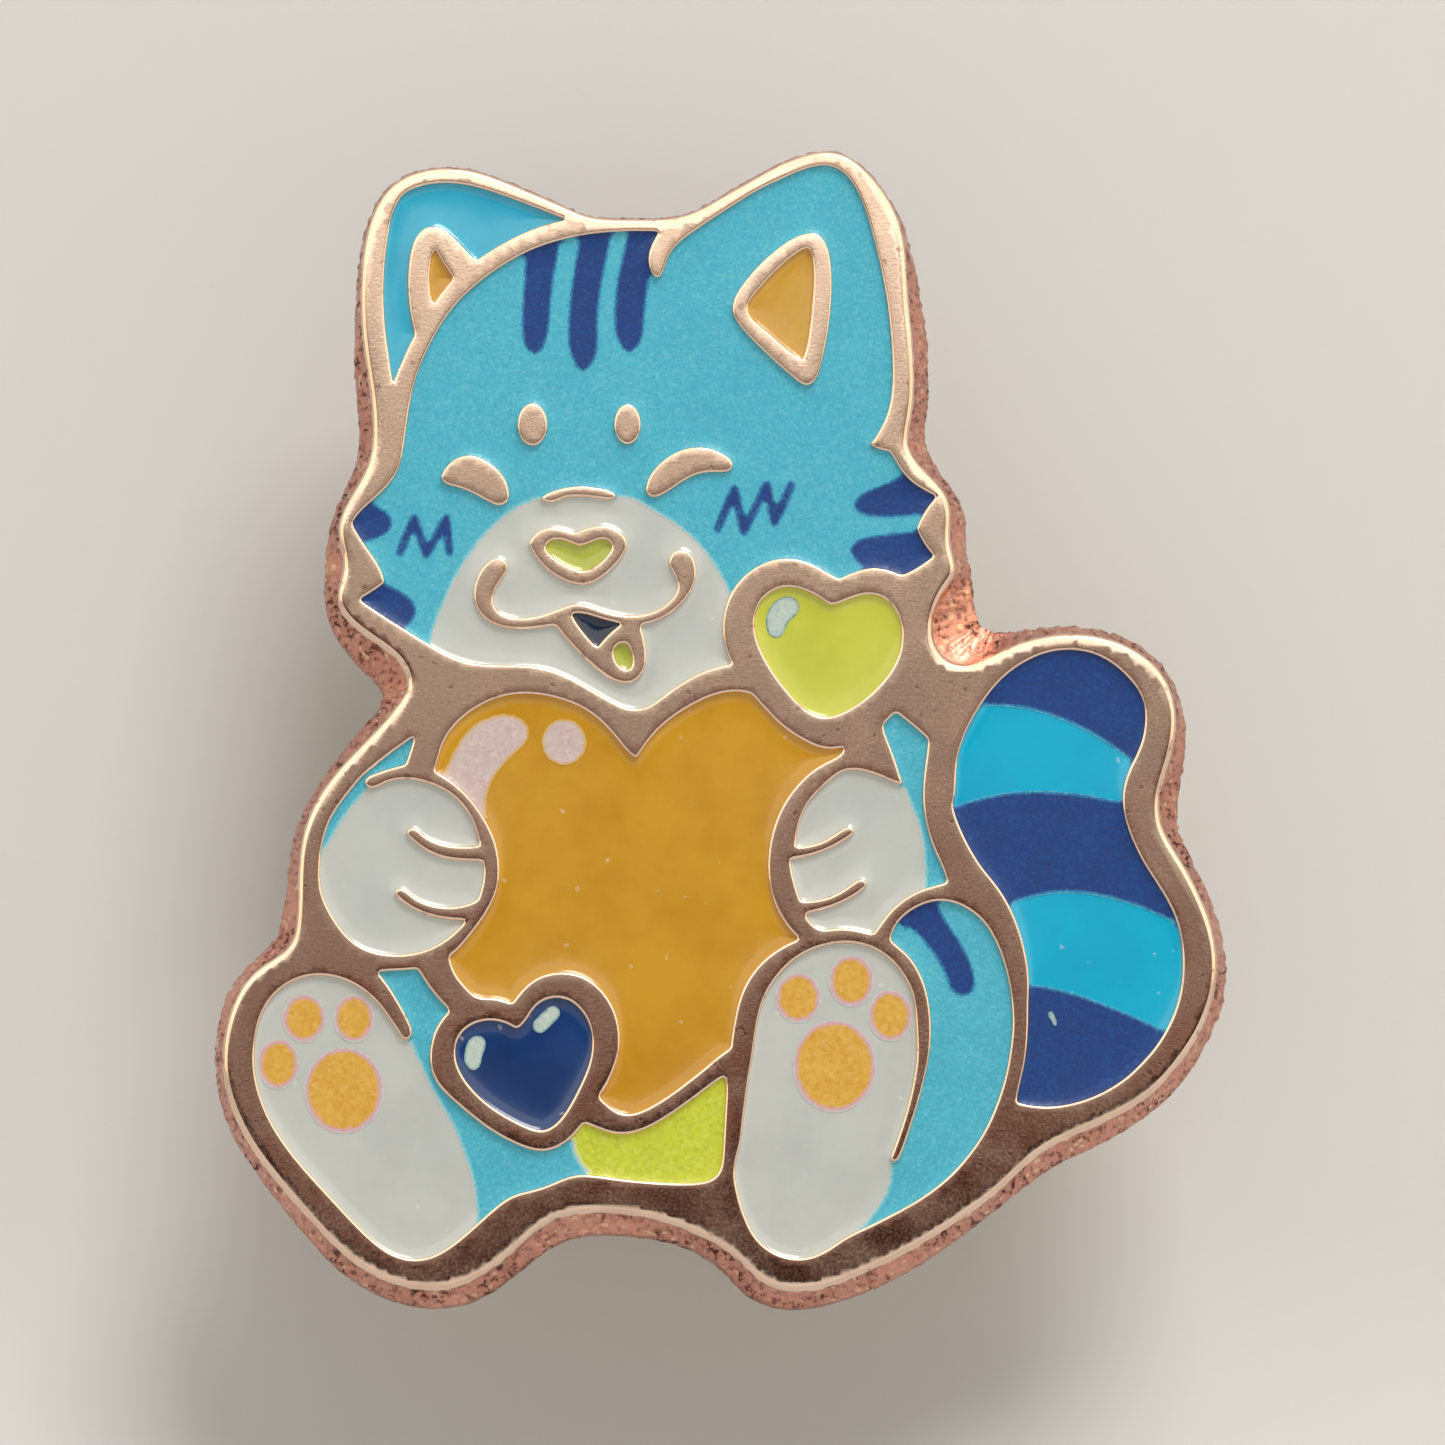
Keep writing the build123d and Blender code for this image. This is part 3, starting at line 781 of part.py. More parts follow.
# ---------------------------------------------------------------- posts and solder
def turned(profile, x):
    """A solid of revolution about a line along +Y at x, from radius and height pairs."""
    wire = Wire.make_polygon([Vector(r, h, 0) for r, h in profile], close=True)
    return revolve(Face(wire), Axis.Y).moved(Location((x, 0, 0)))


post_profile = [
    (0, -seat_depth), (post_head_radius, -seat_depth), (post_head_radius, post_head_height),
    (post_radius, post_head_height), (post_radius, groove_start - groove_bevel),
    (groove_radius, groove_start), (groove_radius, groove_end),
    (post_radius, groove_end + groove_bevel), (post_radius, post_length - post_cone),
    (post_blunt, post_length - post_blunt), (0, post_length),
]
solder_profile = [
    (post_head_radius, -seat_depth), (post_head_radius + solder_width, -seat_depth),
    (post_head_radius + solder_width * 0.55, solder_height * 0.22),
    (post_head_radius + solder_width * 0.2, solder_height * 0.6),
    (post_head_radius, solder_height),
]

# ---------------------------------------------------------------- butterfly clutches
dish_hole = post_radius + clutch_bore_clearance
dish_inside = clutch_radius - clutch_sheet
dimple_sink = clutch_sheet / 3     # how deep a dimple reaches into the sheet behind it
dimple_trim = 2 * clutch_sheet + 2 * dimple_radius
ball_depth = (dimple_radius ** 2 - dimple_height ** 2) / (2 * dimple_height)
dish_profile = [
    (dish_hole, 0), (clutch_radius - clutch_foot, 0), (clutch_radius, clutch_foot),
    (clutch_radius, clutch_height - clutch_roll), (clutch_radius - clutch_roll, clutch_height),
    (clutch_radius - clutch_lip, clutch_height),
    (clutch_radius - clutch_lip, clutch_height - clutch_sheet),
    (dish_inside, clutch_height - clutch_sheet), (dish_inside, clutch_sheet),
    (dish_hole, clutch_sheet),
]
plate_low = clutch_sheet + plate_gap
plate_high = plate_low + spring_sheet
jaw_low = [plate_high + plate_gap, plate_high + 2 * plate_gap + spring_sheet]
jaw_offset = jaw_radius - post_radius - jaw_grip


def spring_plate(x, y):
    """The round plate that turns inside the dish, with two waisted sides."""
    radius = dish_inside - plate_clearance
    disc = Cylinder(radius, spring_sheet)
    hole = Cylinder(jaw_radius, 2 * spring_sheet)
    scoop_centre = radius - scoop_depth + scoop_radius
    scoops = [Pos(0, side * scoop_centre, 0) * Cylinder(scoop_radius, 2 * spring_sheet) for side in (-1, 1)]
    plate = disc.cut(hole, *scoops)
    return plate.rotate(Axis.X, -90).moved(Location((x, y + plate_low + spring_sheet / 2, 0)))


def wing_side(mid, offset):
    """One side of a wing's bent sheet, seen edge-on: flat jaw, bend up, rise, curl outwards, lip."""
    inner = wing_bend - offset
    outer = wing_curl + offset
    climb = wing_bend * (1 - math.cos(wing_slope))
    crown = wing_curl * (math.cos(wing_lip_slope) - math.cos(wing_slope))
    rise = (wing_height - mid - climb - crown) / math.sin(wing_slope)
    along = Vector(math.cos(wing_slope), math.sin(wing_slope))
    out = Vector(math.cos(wing_lip_slope), math.sin(wing_lip_slope))
    start = Vector(-jaw_end, mid + offset)
    bend = Vector(wing_foot, mid + offset)
    foot = bend + Vector(math.sin(wing_slope), 1 - math.cos(wing_slope)) * inner
    top = foot + along * rise
    lip = top + Vector(math.sin(wing_slope) - math.sin(wing_lip_slope),
                       math.cos(wing_lip_slope) - math.cos(wing_slope)) * outer
    return [Edge.make_line(start, bend), Edge.make_tangent_arc(bend, Vector(1, 0), foot),
            Edge.make_line(foot, top), Edge.make_tangent_arc(top, along, lip),
            Edge.make_line(lip, lip + out * wing_lip)]


def wing(side, low, x, y, turn):
    """One wing: a flat jaw with the gripping hole, rising and curling outwards."""
    mid = low + spring_sheet / 2
    upper = wing_side(mid, spring_sheet / 2)
    lower = wing_side(mid, -spring_sheet / 2)
    ends = [Edge.make_line(upper[0] @ 0, lower[0] @ 0), Edge.make_line(upper[-1] @ 1, lower[-1] @ 1)]
    blank_width = 2 * (wing_half_width + tool_past)
    strip = extrude(Face(Wire(upper + lower + ends)), amount=blank_width / 2, dir=(0, 0, 1), both=True)
    widest = wing_half_width + tool_past
    flank = [(wing_neck + (widest - wing_neck) * out, wing_neck_end + wing_flare * up)
             for out, up in ((0, 0), (0.05, 0.18), (0.29, 0.41), (0.6, 0.63), (1, 1))]
    far = wing_reach + 2 * tool_past
    right = [Vector(far, height, half) for half, height in flank]
    left = [Vector(far, height, -half) for half, height in reversed(flank)]
    top = wing_height + tool_past
    jaw = [Vector(far, wing_neck_start, -jaw_half_width), Vector(far, 0, -jaw_half_width),
           Vector(far, 0, jaw_half_width), Vector(far, wing_neck_start, jaw_half_width)]
    corners = [right[-1], Vector(far, top, widest), Vector(far, top, -widest), left[0]]
    foot = [left[-1], *jaw, right[0]]
    lines = [Edge.make_line(a, b) for run in (corners, foot) for a, b in zip(run, run[1:])]
    shape = Face(Wire([Edge.make_spline(right), *lines[:3], Edge.make_spline(left), *lines[3:]]))
    front = extrude(shape, amount=2 * far, dir=(-1, 0, 0))
    outline = RectangleRounded(2 * wing_reach, 2 * wing_half_width, wing_tip_radius)
    plan = extrude(Plane.XZ * outline, amount=2 * wing_height, both=True)
    cut_out = strip.intersect(front.solids()[0]).solids()[0].intersect(plan.solids()[0])
    hole = Cylinder(jaw_radius, wing_height).rotate(Axis.X, -90).moved(Location((jaw_offset, 0, 0)))
    piece = cut_out.solids()[0].cut(hole).solids()[0]
    if side < 0:
        piece = piece.rotate(Axis.Y, 180)
    return piece.rotate(Axis.Y, turn).moved(Location((x, y, 0)))


pale_gold = (0.62, 0.52, 0.36)
dull = (0.45, 0.42, 0.38)
for label, side, turn in (("left", -1, wing_turn_left), ("right", 1, wing_turn_right)):
    post_x = side * post_spacing / 2
    save(f"post_{label}", turned(post_profile, post_x), gold)
    save(f"solder_{label}", turned(solder_profile, post_x), dull)
    dish = turned(dish_profile, 0)
    bumps = []
    for i in range(dimple_count):
        angle = 2 * math.pi * (i + 0.5) / dimple_count
        bump_x = dimple_circle * math.cos(angle)
        bump_z = dimple_circle * math.sin(angle)
        ball = Sphere(math.hypot(dimple_radius, ball_depth)).moved(Location((bump_x, ball_depth, bump_z)))
        trim = Pos(bump_x, dimple_sink - dimple_trim / 2, bump_z) * Box(dimple_trim, dimple_trim, dimple_trim)
        bumps.append(ball.intersect(trim).solids()[0])
    dish = dish.fuse(*bumps).moved(Location((post_x, fabric_gap, 0)))
    save(f"clutch_{label}_dish", dish, pale_gold)
    save(f"clutch_{label}_spring_plate", spring_plate(post_x, fabric_gap), pale_gold)
    save(f"clutch_{label}_wing_a", wing(1, jaw_low[0], post_x, fabric_gap, turn), pale_gold)
    save(f"clutch_{label}_wing_b", wing(-1, jaw_low[1], post_x, fabric_gap, turn), pale_gold)
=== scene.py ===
# %% [markdown]
# # An enamel pin, from its CAD model to a finished look
#
# The pin is a struck and plated metal plate. Its raised lines fence in pools of
# coloured enamel, some of the enamel is printed with ink, and two posts with
# butterfly clutches hold it on fabric. The CAD model gives every piece its size and
# place. This lesson builds what CAD leaves plain: the rounded metal lines, the curved
# skin of each enamel pool, the grain of the ink and the rough side of the plate.
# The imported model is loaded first, because every later cell takes its outlines from it.

# %% Load the CAD model
import math

import bmesh
import bpy
import numpy as np
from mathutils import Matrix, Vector
from mathutils.geometry import delaunay_2d_cdt


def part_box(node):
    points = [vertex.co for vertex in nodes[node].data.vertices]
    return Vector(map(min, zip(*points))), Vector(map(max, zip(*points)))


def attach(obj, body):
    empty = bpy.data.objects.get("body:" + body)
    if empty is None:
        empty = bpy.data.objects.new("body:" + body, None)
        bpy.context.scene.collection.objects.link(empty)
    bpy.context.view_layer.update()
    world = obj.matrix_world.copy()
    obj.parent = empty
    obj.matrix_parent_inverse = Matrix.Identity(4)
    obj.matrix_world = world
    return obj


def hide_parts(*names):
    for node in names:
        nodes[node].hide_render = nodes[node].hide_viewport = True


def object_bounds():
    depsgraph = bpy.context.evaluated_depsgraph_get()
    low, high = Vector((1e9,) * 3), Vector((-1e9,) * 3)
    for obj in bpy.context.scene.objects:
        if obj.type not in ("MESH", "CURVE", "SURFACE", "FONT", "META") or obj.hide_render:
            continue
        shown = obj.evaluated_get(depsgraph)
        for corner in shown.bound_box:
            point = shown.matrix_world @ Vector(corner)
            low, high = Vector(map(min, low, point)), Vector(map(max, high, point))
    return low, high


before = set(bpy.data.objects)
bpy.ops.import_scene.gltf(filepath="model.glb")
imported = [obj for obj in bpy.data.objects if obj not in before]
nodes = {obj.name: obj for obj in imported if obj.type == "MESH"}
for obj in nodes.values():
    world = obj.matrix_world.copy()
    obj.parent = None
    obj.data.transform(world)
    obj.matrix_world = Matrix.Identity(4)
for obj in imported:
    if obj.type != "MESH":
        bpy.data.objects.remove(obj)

cad_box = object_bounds()

# %% [markdown]
# ## Depths and widths
#
# Depths run along Y, with the face of the metal lines at the most negative value.
# They are read from the CAD boxes, so they follow the model if a size changes there.
# The widths are finishing choices that CAD doesn't make: how round a polished line
# is, how high the enamel creeps up a wall, and how thick a print looks.
# Everything is worked out in millimetres and turned into metres when a mesh is made.

# %% Depths from the model
MM = 0.001


def depth(node, corner):
    """The front (0) or back (1) limit of a node along Y, in millimetres."""
    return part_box(node)[corner].y / MM


FACE = depth("base_plate", 0)
ENAMEL = depth("enamel_head", 0)
FLOOR = depth("enamel_head", 1)
INK = depth("ink_light_blue", 0)
LINE_ROUND = 0.085       # radius of a polished line's edge
CREEP = 0.07             # how far enamel climbs a wall
CREEP_REACH = 0.13       # over what distance it falls back
SAG = 0.02               # how far the middle of a pool sinks
STEP = 0.09              # spacing of points along an outline
print("face", round(FACE, 3), "enamel", round(ENAMEL, 3), "floor", round(FLOOR, 3))

# %% [markdown]
# ## Reading an outline
#
# A CAD node arrives as loose triangles. The triangles that lie flat at one depth form
# its face there, and the sides that only one of them uses are the outline. The sides
# are followed round to give closed loops. CAD points lie exactly on the curve but far
# apart, so a cubic curve is laid through them, straight past real corners only, and
# then cut into even steps. Even steps make even quads later.

# %% Outlines of a node
SAME_DIGITS = 4          # corners alike to this many decimals are one corner
AT_LEVEL = 0.003         # how near to a depth a corner counts as lying at it
CUTS = 10                # short chords that stand for the cubic between two points
EASE = 0.2               # share that each neighbour has in evening out an outline


def triangles(node):
    """Corner points of every triangle of a node, in millimetres, as (count, 3, 3)."""
    mesh = nodes[node].data
    mesh.calc_loop_triangles()
    points = np.empty(len(mesh.vertices) * 3, np.float32)
    mesh.vertices.foreach_get("co", points)
    index = np.empty(len(mesh.loop_triangles) * 3, np.int32)
    mesh.loop_triangles.foreach_get("vertices", index)
    return points.reshape(-1, 3)[index].reshape(-1, 3, 3).astype(float) / MM


def area(loop):
    """Signed area by the shoelace sum: positive when the loop turns from +X to +Z."""
    ahead = np.roll(loop, -1, axis=0)
    return 0.5 * float(np.sum(loop[:, 0] * ahead[:, 1] - ahead[:, 0] * loop[:, 1]))


def outlines(node, level):
    """Closed loops of (x, z) points where the node has an edge at this depth, largest first."""
    corners = np.round(triangles(node).reshape(-1, 3), SAME_DIGITS)
    points, index = np.unique(corners, axis=0, return_inverse=True)
    index = index.reshape(-1, 3)
    near = np.abs(points[:, 1] - level) < AT_LEVEL
    flat = np.tile(near[index].all(axis=1), 3)
    sides = np.sort(np.concatenate([index[:, [0, 1]], index[:, [1, 2]], index[:, [2, 0]]]), axis=1)
    here = near[sides].all(axis=1) & (sides[:, 0] != sides[:, 1])
    unique, which = np.unique(sides[here], axis=0, return_inverse=True)
    uses = np.bincount(which.ravel(), weights=flat[here])
    neighbours = {}
    for a, b in unique[uses < 1.5].tolist():
        neighbours.setdefault(a, []).append(b)
        neighbours.setdefault(b, []).append(a)
    loops = []
    while neighbours:
        start = next(iter(neighbours))
        chain = [start]
        while neighbours.get(chain[-1]):
            following = neighbours[chain[-1]].pop()
            neighbours[following].remove(chain[-1])
            chain.append(following)
        neighbours = {a: b for a, b in neighbours.items() if b}
        if len(chain) > 3:
            loop = points[chain[:-1]][:, [0, 2]]
            loops.append(loop if area(loop) > 0 else loop[::-1])
    return sorted(loops, key=area, reverse=True)


def evenly(loop, step=STEP, corner=math.radians(28)):
    """A cubic through the points, kept straight past corners, cut into even steps of its length."""
    ahead = np.roll(loop, -1, axis=0) - loop
    length = np.linalg.norm(ahead, axis=1, keepdims=True)
    leave = ahead / length
    arrive = np.roll(leave, 1, axis=0)
    before = np.roll(length, 1, axis=0)
    blend = (leave * before + arrive * length) / (before + length)
    sharp = (np.sum(leave * arrive, axis=1) < math.cos(corner))[:, None]
    out = np.where(sharp, leave, blend) * length
    into = np.roll(np.where(sharp, arrive, blend), -1, axis=0) * length
    t = (np.arange(CUTS) / CUTS)[None, :, None]
    curve = (loop[:, None] + out[:, None] * (t - 2 * t ** 2 + t ** 3) + into[:, None] * (t ** 3 - t ** 2)
             + ahead[:, None] * (3 * t ** 2 - 2 * t ** 3)).reshape(-1, 2)
    closed = np.vstack([curve, curve[:1]])
    run = np.concatenate([[0], np.cumsum(np.linalg.norm(np.diff(closed, axis=0), axis=1))])
    count = max(16, round(run[-1] / step))
    places = np.arange(count) * run[-1] / count
    even = np.column_stack([np.interp(places, run, closed[:, k]) for k in (0, 1)])
    return EASE * np.roll(even, 1, axis=0) + (1 - 2 * EASE) * even + EASE * np.roll(even, -1, axis=0)


cells = {name: [evenly(loop) for loop in outlines(name, ENAMEL)]
         for name in sorted(nodes) if name.startswith("enamel_")}
rim_edge = evenly(outlines("base_plate", FACE)[0])
walls = [loop for loops in cells.values() for loop in loops]
print("cells", len(cells), "outlines", len(walls), "points", sum(map(len, walls)))

# %% [markdown]
# ## Distances
#
# Almost every shape here depends on one number: how far a point is from the nearest
# wall. Array helpers answer the questions that come up all the time: how far a point
# is, whether it is inside, and which way is out. A table of every point against every
# wall would fill the memory, so the points are taken in blocks.

# %% How far, and whether inside
BLOCK = 1500             # about how many points are handled at once


def blocks(points):
    """The points in blocks of about BLOCK rows."""
    return np.array_split(points, len(points) // BLOCK + 1)


def squares(a, b):
    """The squared distance from each point of a to each point of b, as a table."""
    return (a[:, None, 0] - b[None, :, 0]) ** 2 + (a[:, None, 1] - b[None, :, 1]) ** 2


def reach(points, loops):
    """Distance from each point to the loops: the nearest corner is found, then its two sides tried."""
    starts = np.vstack(loops)
    ahead = np.vstack([np.roll(loop, -1, axis=0) for loop in loops])
    behind = np.vstack([np.roll(loop, 1, axis=0) for loop in loops])
    result = []
    for block in blocks(points):
        closest = squares(block, starts).argmin(axis=1)
        found = np.full(len(block), np.inf)
        for other in (ahead, behind):
            side = other[closest] - starts[closest]
            offset = block - starts[closest]
            share = np.clip((offset * side).sum(1) / np.maximum((side ** 2).sum(1), 1e-12), 0, 1)
            found = np.minimum(found, np.linalg.norm(offset - side * share[:, None], axis=1))
        result.append(found)
    return np.concatenate(result)


def inside(points, loops):
    """Even-odd rule: a point is inside when a line to its right crosses the loops an odd number of times."""
    a = np.vstack(loops)
    b = np.vstack([np.roll(loop, -1, axis=0) for loop in loops])
    slope = (b[:, 0] - a[:, 0]) / np.where(a[:, 1] == b[:, 1], 1, b[:, 1] - a[:, 1])
    result = []
    for block in blocks(points):
        x = block[:, None, 0]
        z = block[:, None, 1]
        spans = (a[:, 1] > z) != (b[:, 1] > z)
        crossing = a[:, 0] + (z - a[:, 1]) * slope
        result.append((spans & (x < crossing)).sum(axis=1) % 2 == 1)
    return np.concatenate(result)


def nearest(points, targets):
    """Distance from each point to the nearest target point."""
    return np.concatenate([np.sqrt(squares(block, targets).min(axis=1)) for block in blocks(points)])


def outward(loop):
    """Unit normals of a loop, pointing away from what it encloses."""
    along = np.roll(loop, -1, axis=0) - np.roll(loop, 1, axis=0)
    along /= np.linalg.norm(along, axis=1, keepdims=True)
    return np.column_stack([along[:, 1], -along[:, 0]])


cell_area = {name: area(loops[0]) for name, loops in cells.items()}
print("largest cell", max(cell_area, key=cell_area.get), round(max(cell_area.values())), "square mm")

# %% [markdown]
# ## Filling a region
#
# A region with holes is filled by Delaunay triangles over three kinds of points: the
# outline itself, rings of points close to every wall, where the surface curves, and
# a loose hexagonal grid in the open. Subdividing a flat face would work too, but it
# would put as many points in the flat middle as at the edges.

# %% Fill a region with triangles
ROW_HEIGHT = 0.866       # distance between the rows of the grid, as a share of its spacing
RING_CLEAR = 0.9         # a ring point must keep this share of its distance from every wall
OUTLINE_CLEAR = 0.04     # and this distance, or half its own, from the outline being filled
WELD = 0.0008            # points nearer than this are one point


def rings_beside(loops, offsets):
    """Points beside every outline on both sides, at each distance along its normals."""
    rings = [loop + outward(loop) * offset * side for loop in loops for offset in offsets for side in (-1, 1)]
    sizes = [offset for loop in loops for offset in offsets for _ in (-1, 1) for _ in range(len(loop))]
    return np.vstack(rings), np.array(sizes)


def fill(region, bounds, offsets=(), spacing=None, keep=None):
    """Triangles where keep is true: outline, rings beside the walls in bounds, and a hexagonal grid."""
    keep = keep or (lambda at: inside(at, region))
    extra = [np.empty((0, 2))]
    if offsets:
        near, sizes = rings_beside(bounds, offsets)
        good = keep(near)
        near, sizes = near[good], sizes[good]
        clear = reach(near, bounds) > sizes * RING_CLEAR
        clear &= reach(near, region) > np.minimum(sizes * 0.5, OUTLINE_CLEAR)
        extra.append(near[clear])
    if spacing:
        low = np.vstack(region).min(0)
        high = np.vstack(region).max(0)
        x, z = np.meshgrid(np.arange(low[0], high[0], spacing),
                           np.arange(low[1], high[1], spacing * ROW_HEIGHT))
        x[1::2] += spacing / 2
        grid = np.column_stack([x.ravel(), z.ravel()])
        grid = grid[keep(grid)]
        away = max((*offsets, 0.0)) + spacing * 0.4
        extra.append(grid[(reach(grid, bounds) > away) & (reach(grid, region) > spacing * 0.3)])
    points = np.vstack(region + extra)
    sides = []
    base = 0
    for loop in region:
        order = np.arange(len(loop))
        sides.append(np.column_stack([order, np.roll(order, -1)]) + base)
        base += len(loop)
    made, _, faces, *_ = delaunay_2d_cdt([Vector(p) for p in points], np.vstack(sides).tolist(), [], 0, 1e-6)
    made = np.array([tuple(p) for p in made])
    faces = np.array([f for f in faces if len(f) == 3])
    return made, faces[keep(made[faces].mean(axis=1))]


def boundary(faces):
    """The sides of triangles that only one triangle uses, in that triangle's direction."""
    sides = np.concatenate([faces[:, [0, 1]], faces[:, [1, 2]], faces[:, [2, 0]]])
    _, index, uses = np.unique(np.sort(sides, axis=1), axis=0, return_index=True, return_counts=True)
    return sides[index[uses == 1]]


def build(name, parts, smooth=math.radians(40)):
    """One mesh object from parts of (points in mm, faces).

    Points in the same place are welded, faces are turned outwards, and edges that
    turn by less than the given angle are shaded smooth.
    """
    mesh = bpy.data.meshes.new(name)
    shift = np.cumsum([0] + [len(points) for points, _ in parts])
    faces = [face for start, (_, some) in zip(shift, parts) for face in (np.asarray(some) + start).tolist()]
    mesh.from_pydata((np.vstack([points for points, _ in parts]) * MM).tolist(), [], faces)
    work = bmesh.new()
    work.from_mesh(mesh)
    bmesh.ops.remove_doubles(work, verts=work.verts, dist=WELD * MM)
    bmesh.ops.recalc_face_normals(work, faces=work.faces)
    work.to_mesh(mesh)
    work.free()
    mesh.shade_smooth()
    mesh.set_sharp_from_angle(angle=smooth)
    piece = bpy.data.objects.new(name, mesh)
    bpy.context.scene.collection.objects.link(piece)
    return piece


def upright(flat, y):
    """(x, z) points with a depth, as (x, y, z)."""
    return np.column_stack([flat[:, 0], np.broadcast_to(y, len(flat)), flat[:, 1]])


def band(rows):
    """Quads between rows of points that all go round the same closed loop."""
    count = len(rows[0])
    here = np.arange(count)
    ahead = np.roll(here, -1)
    first = np.column_stack([here, ahead, ahead + count, here + count])
    return np.vstack(rows), np.vstack([first + row * count for row in range(len(rows) - 1)])


tongue = cells["enamel_tongue"]
print("the tongue's outline alone fills with", len(fill(tongue, tongue)[1]), "triangles")

# %% [markdown]
# ## The enamel pools
#
# Liquid enamel wets the metal, so it climbs each wall a little and sinks slightly in
# the middle. The surface is one formula of the distance to the wall: a creep that
# dies away exponentially, and a slow sag. A flat face with a painted highlight would
# look right from one side only. Each pool is closed with a wall and a floor.

# %% Enamel surfaces
SAG_REACH = 1.2          # over what distance a pool settles to its middle depth
RINGS = (0.05, 0.12, 0.22, 0.36)    # distances from a wall where a skin gets points
OPEN_SPACING = 0.42      # spacing of its points further out


def enamel_height(flat, loops):
    """Depth of the enamel skin: creep times exp(-distance / reach) towards the face, less a slow sag."""
    away = reach(flat, loops)
    return ENAMEL - CREEP * np.exp(-away / CREEP_REACH) + SAG * (1 - np.exp(-away / SAG_REACH))


def pool(name):
    """A closed pool: skin, wall along each outline, and a flat floor."""
    loops = cells[name]
    flat, faces = fill(loops, loops, RINGS, OPEN_SPACING)
    under, under_faces = fill(loops, loops)
    parts = [(upright(flat, enamel_height(flat, loops)), faces), (upright(under, FLOOR), under_faces)]
    parts += [band([upright(loop, enamel_height(loop, loops)), upright(loop, FLOOR)]) for loop in loops]
    piece = build(name + "_pool", parts)
    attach(piece, "pin")
    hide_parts(name)
    return piece


pools = {name: pool(name) for name in cells}
print("enamel faces", sum(len(p.data.polygons) for p in pools.values()))

# %% [markdown]
# ## The printed ink
#
# Ink lies on the skin of the enamel and follows its curve, so it uses the same height
# formula, lifted by the film. Where a print meets a metal wall the wall cuts it; where
# it ends on open enamel its edge is ragged. Each point therefore carries its distance
# to the nearest open edge in an attribute, for the material to read. The light blue
# runs on under the dark stripes of the head and leg, because it is printed first.

# %% Ink films
PAST_WALL = 0.15         # how far a print is drawn past the wall that cuts it
AT_WALL = 0.07           # a print this near a wall is cut by it
LOOK_IN = 0.06           # how far inside its edge a print is tested for the cell it lies on
MOSTLY = 0.8             # share of those tests that settles it
LOOK_OUT = 0.08          # how far past its edge a print is tested for open enamel
UNDER = 0.004            # a film's underside lies this deep in the enamel
FAR_AWAY = [[99.0, 99.0]]           # stands for the open edge of a print that has none
LIFTS = {"light_blue": 0.012, "dark_blue": 0.022, "lime": 0.016,
         "pads": 0.018, "pink_shine": 0.02, "pale_shine": 0.028}


def printed(node):
    """The outlines of one ink, grouped by the enamel cell they lie on."""
    groups = {}
    for loop in outlines(node, INK):
        loop = evenly(loop)
        just_in = loop - outward(loop) * LOOK_IN
        for host, bounds in cells.items():
            if inside(just_in, bounds).mean() > MOSTLY:
                groups.setdefault(host, []).append(loop)
    return groups


def covered(points, loops):
    """True where a point is inside any one of the loops."""
    return np.any([inside(points, [loop]) for loop in loops], axis=0)


def open_edges(loops, bounds):
    """Closely spaced points on the edges of a print that end on open enamel."""
    fine = [evenly(loop, STEP / 3) for loop in loops]
    beyond = np.vstack([loop + outward(loop) * LOOK_OUT for loop in fine])
    points = np.vstack(fine)
    return points[inside(points, bounds) & inside(beyond, bounds) & ~covered(beyond, loops)]


def film(node, lift, also=None):
    """A thin closed skin for one ink, in each cell it touches, with its distance to an open edge."""
    groups = {host: list(loops) for host, loops in printed(node).items()}
    for host, loops in (also or {}).items():
        groups[host] += loops
    parts = []
    ends = []
    for host, loops in groups.items():
        bounds = cells[host]
        drawn = [np.where(reach(loop, bounds)[:, None] < AT_WALL, loop + outward(loop) * PAST_WALL, loop)
                 for loop in loops]
        flat, faces = fill(drawn + bounds, bounds + drawn, RINGS, OPEN_SPACING,
                           keep=lambda at: covered(at, drawn) & inside(at, bounds))
        height = enamel_height(flat, bounds)
        rim_sides = boundary(faces)
        base = np.column_stack([rim_sides, rim_sides[:, ::-1] + len(flat)])
        skin = upright(flat, height - lift)
        under = upright(flat, height + UNDER)
        parts += [(skin, faces), (under, faces[:, ::-1]), (np.vstack([skin, under]), base)]
        ends.append(open_edges(drawn, bounds))
    piece = build(node + "_film", parts)
    points = np.empty(len(piece.data.vertices) * 3, np.float32)
    piece.data.vertices.foreach_get("co", points)
    flat = points.reshape(-1, 3)[:, [0, 2]].astype(float) / MM
    ends = np.vstack(ends + [FAR_AWAY])
    piece.data.attributes.new("open_edge", "FLOAT", "POINT").data.foreach_set(
        "value", nearest(flat, ends).astype(np.float32))
    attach(piece, "pin")
    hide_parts(node)
    return piece


dark_groups = printed("ink_dark_blue")
under_dark = {host: dark_groups[host] for host in ("enamel_head", "enamel_right_foot_leg")}
films = {ink: film("ink_" + ink, lift, under_dark if ink == "light_blue" else None)
         for ink, lift in LIFTS.items()}
print("film faces", {name: len(piece.data.polygons) for name, piece in films.items()})

# %% [markdown]
# ## The struck plate
#
# The plate's face is one region: everything inside the rim that isn't a cell. Its
# edges are polished round, which is what draws a bright thread of light along every
# line, so the face drops along a quarter circle near each wall. The walls go down to
# the cell floors, and the same points are used on both sides of every seam, so the
# plate welds into one closed body. A Bevel modifier would be the usual way, but the
# lines are barely wider than two bevels and it would tear them.

# %% Face, walls and cell floors
FACE_RINGS = (0.009, 0.022, 0.038, 0.056, 0.074, 0.092)
FACE_SPACING = 0.24


def line_height(flat):
    """Depth of the metal face: a quarter circle of radius LINE_ROUND next to every wall, then flat."""
    short = LINE_ROUND - np.minimum(reach(flat, walls), LINE_ROUND)
    return FACE + LINE_ROUND - np.sqrt(LINE_ROUND ** 2 - short ** 2)


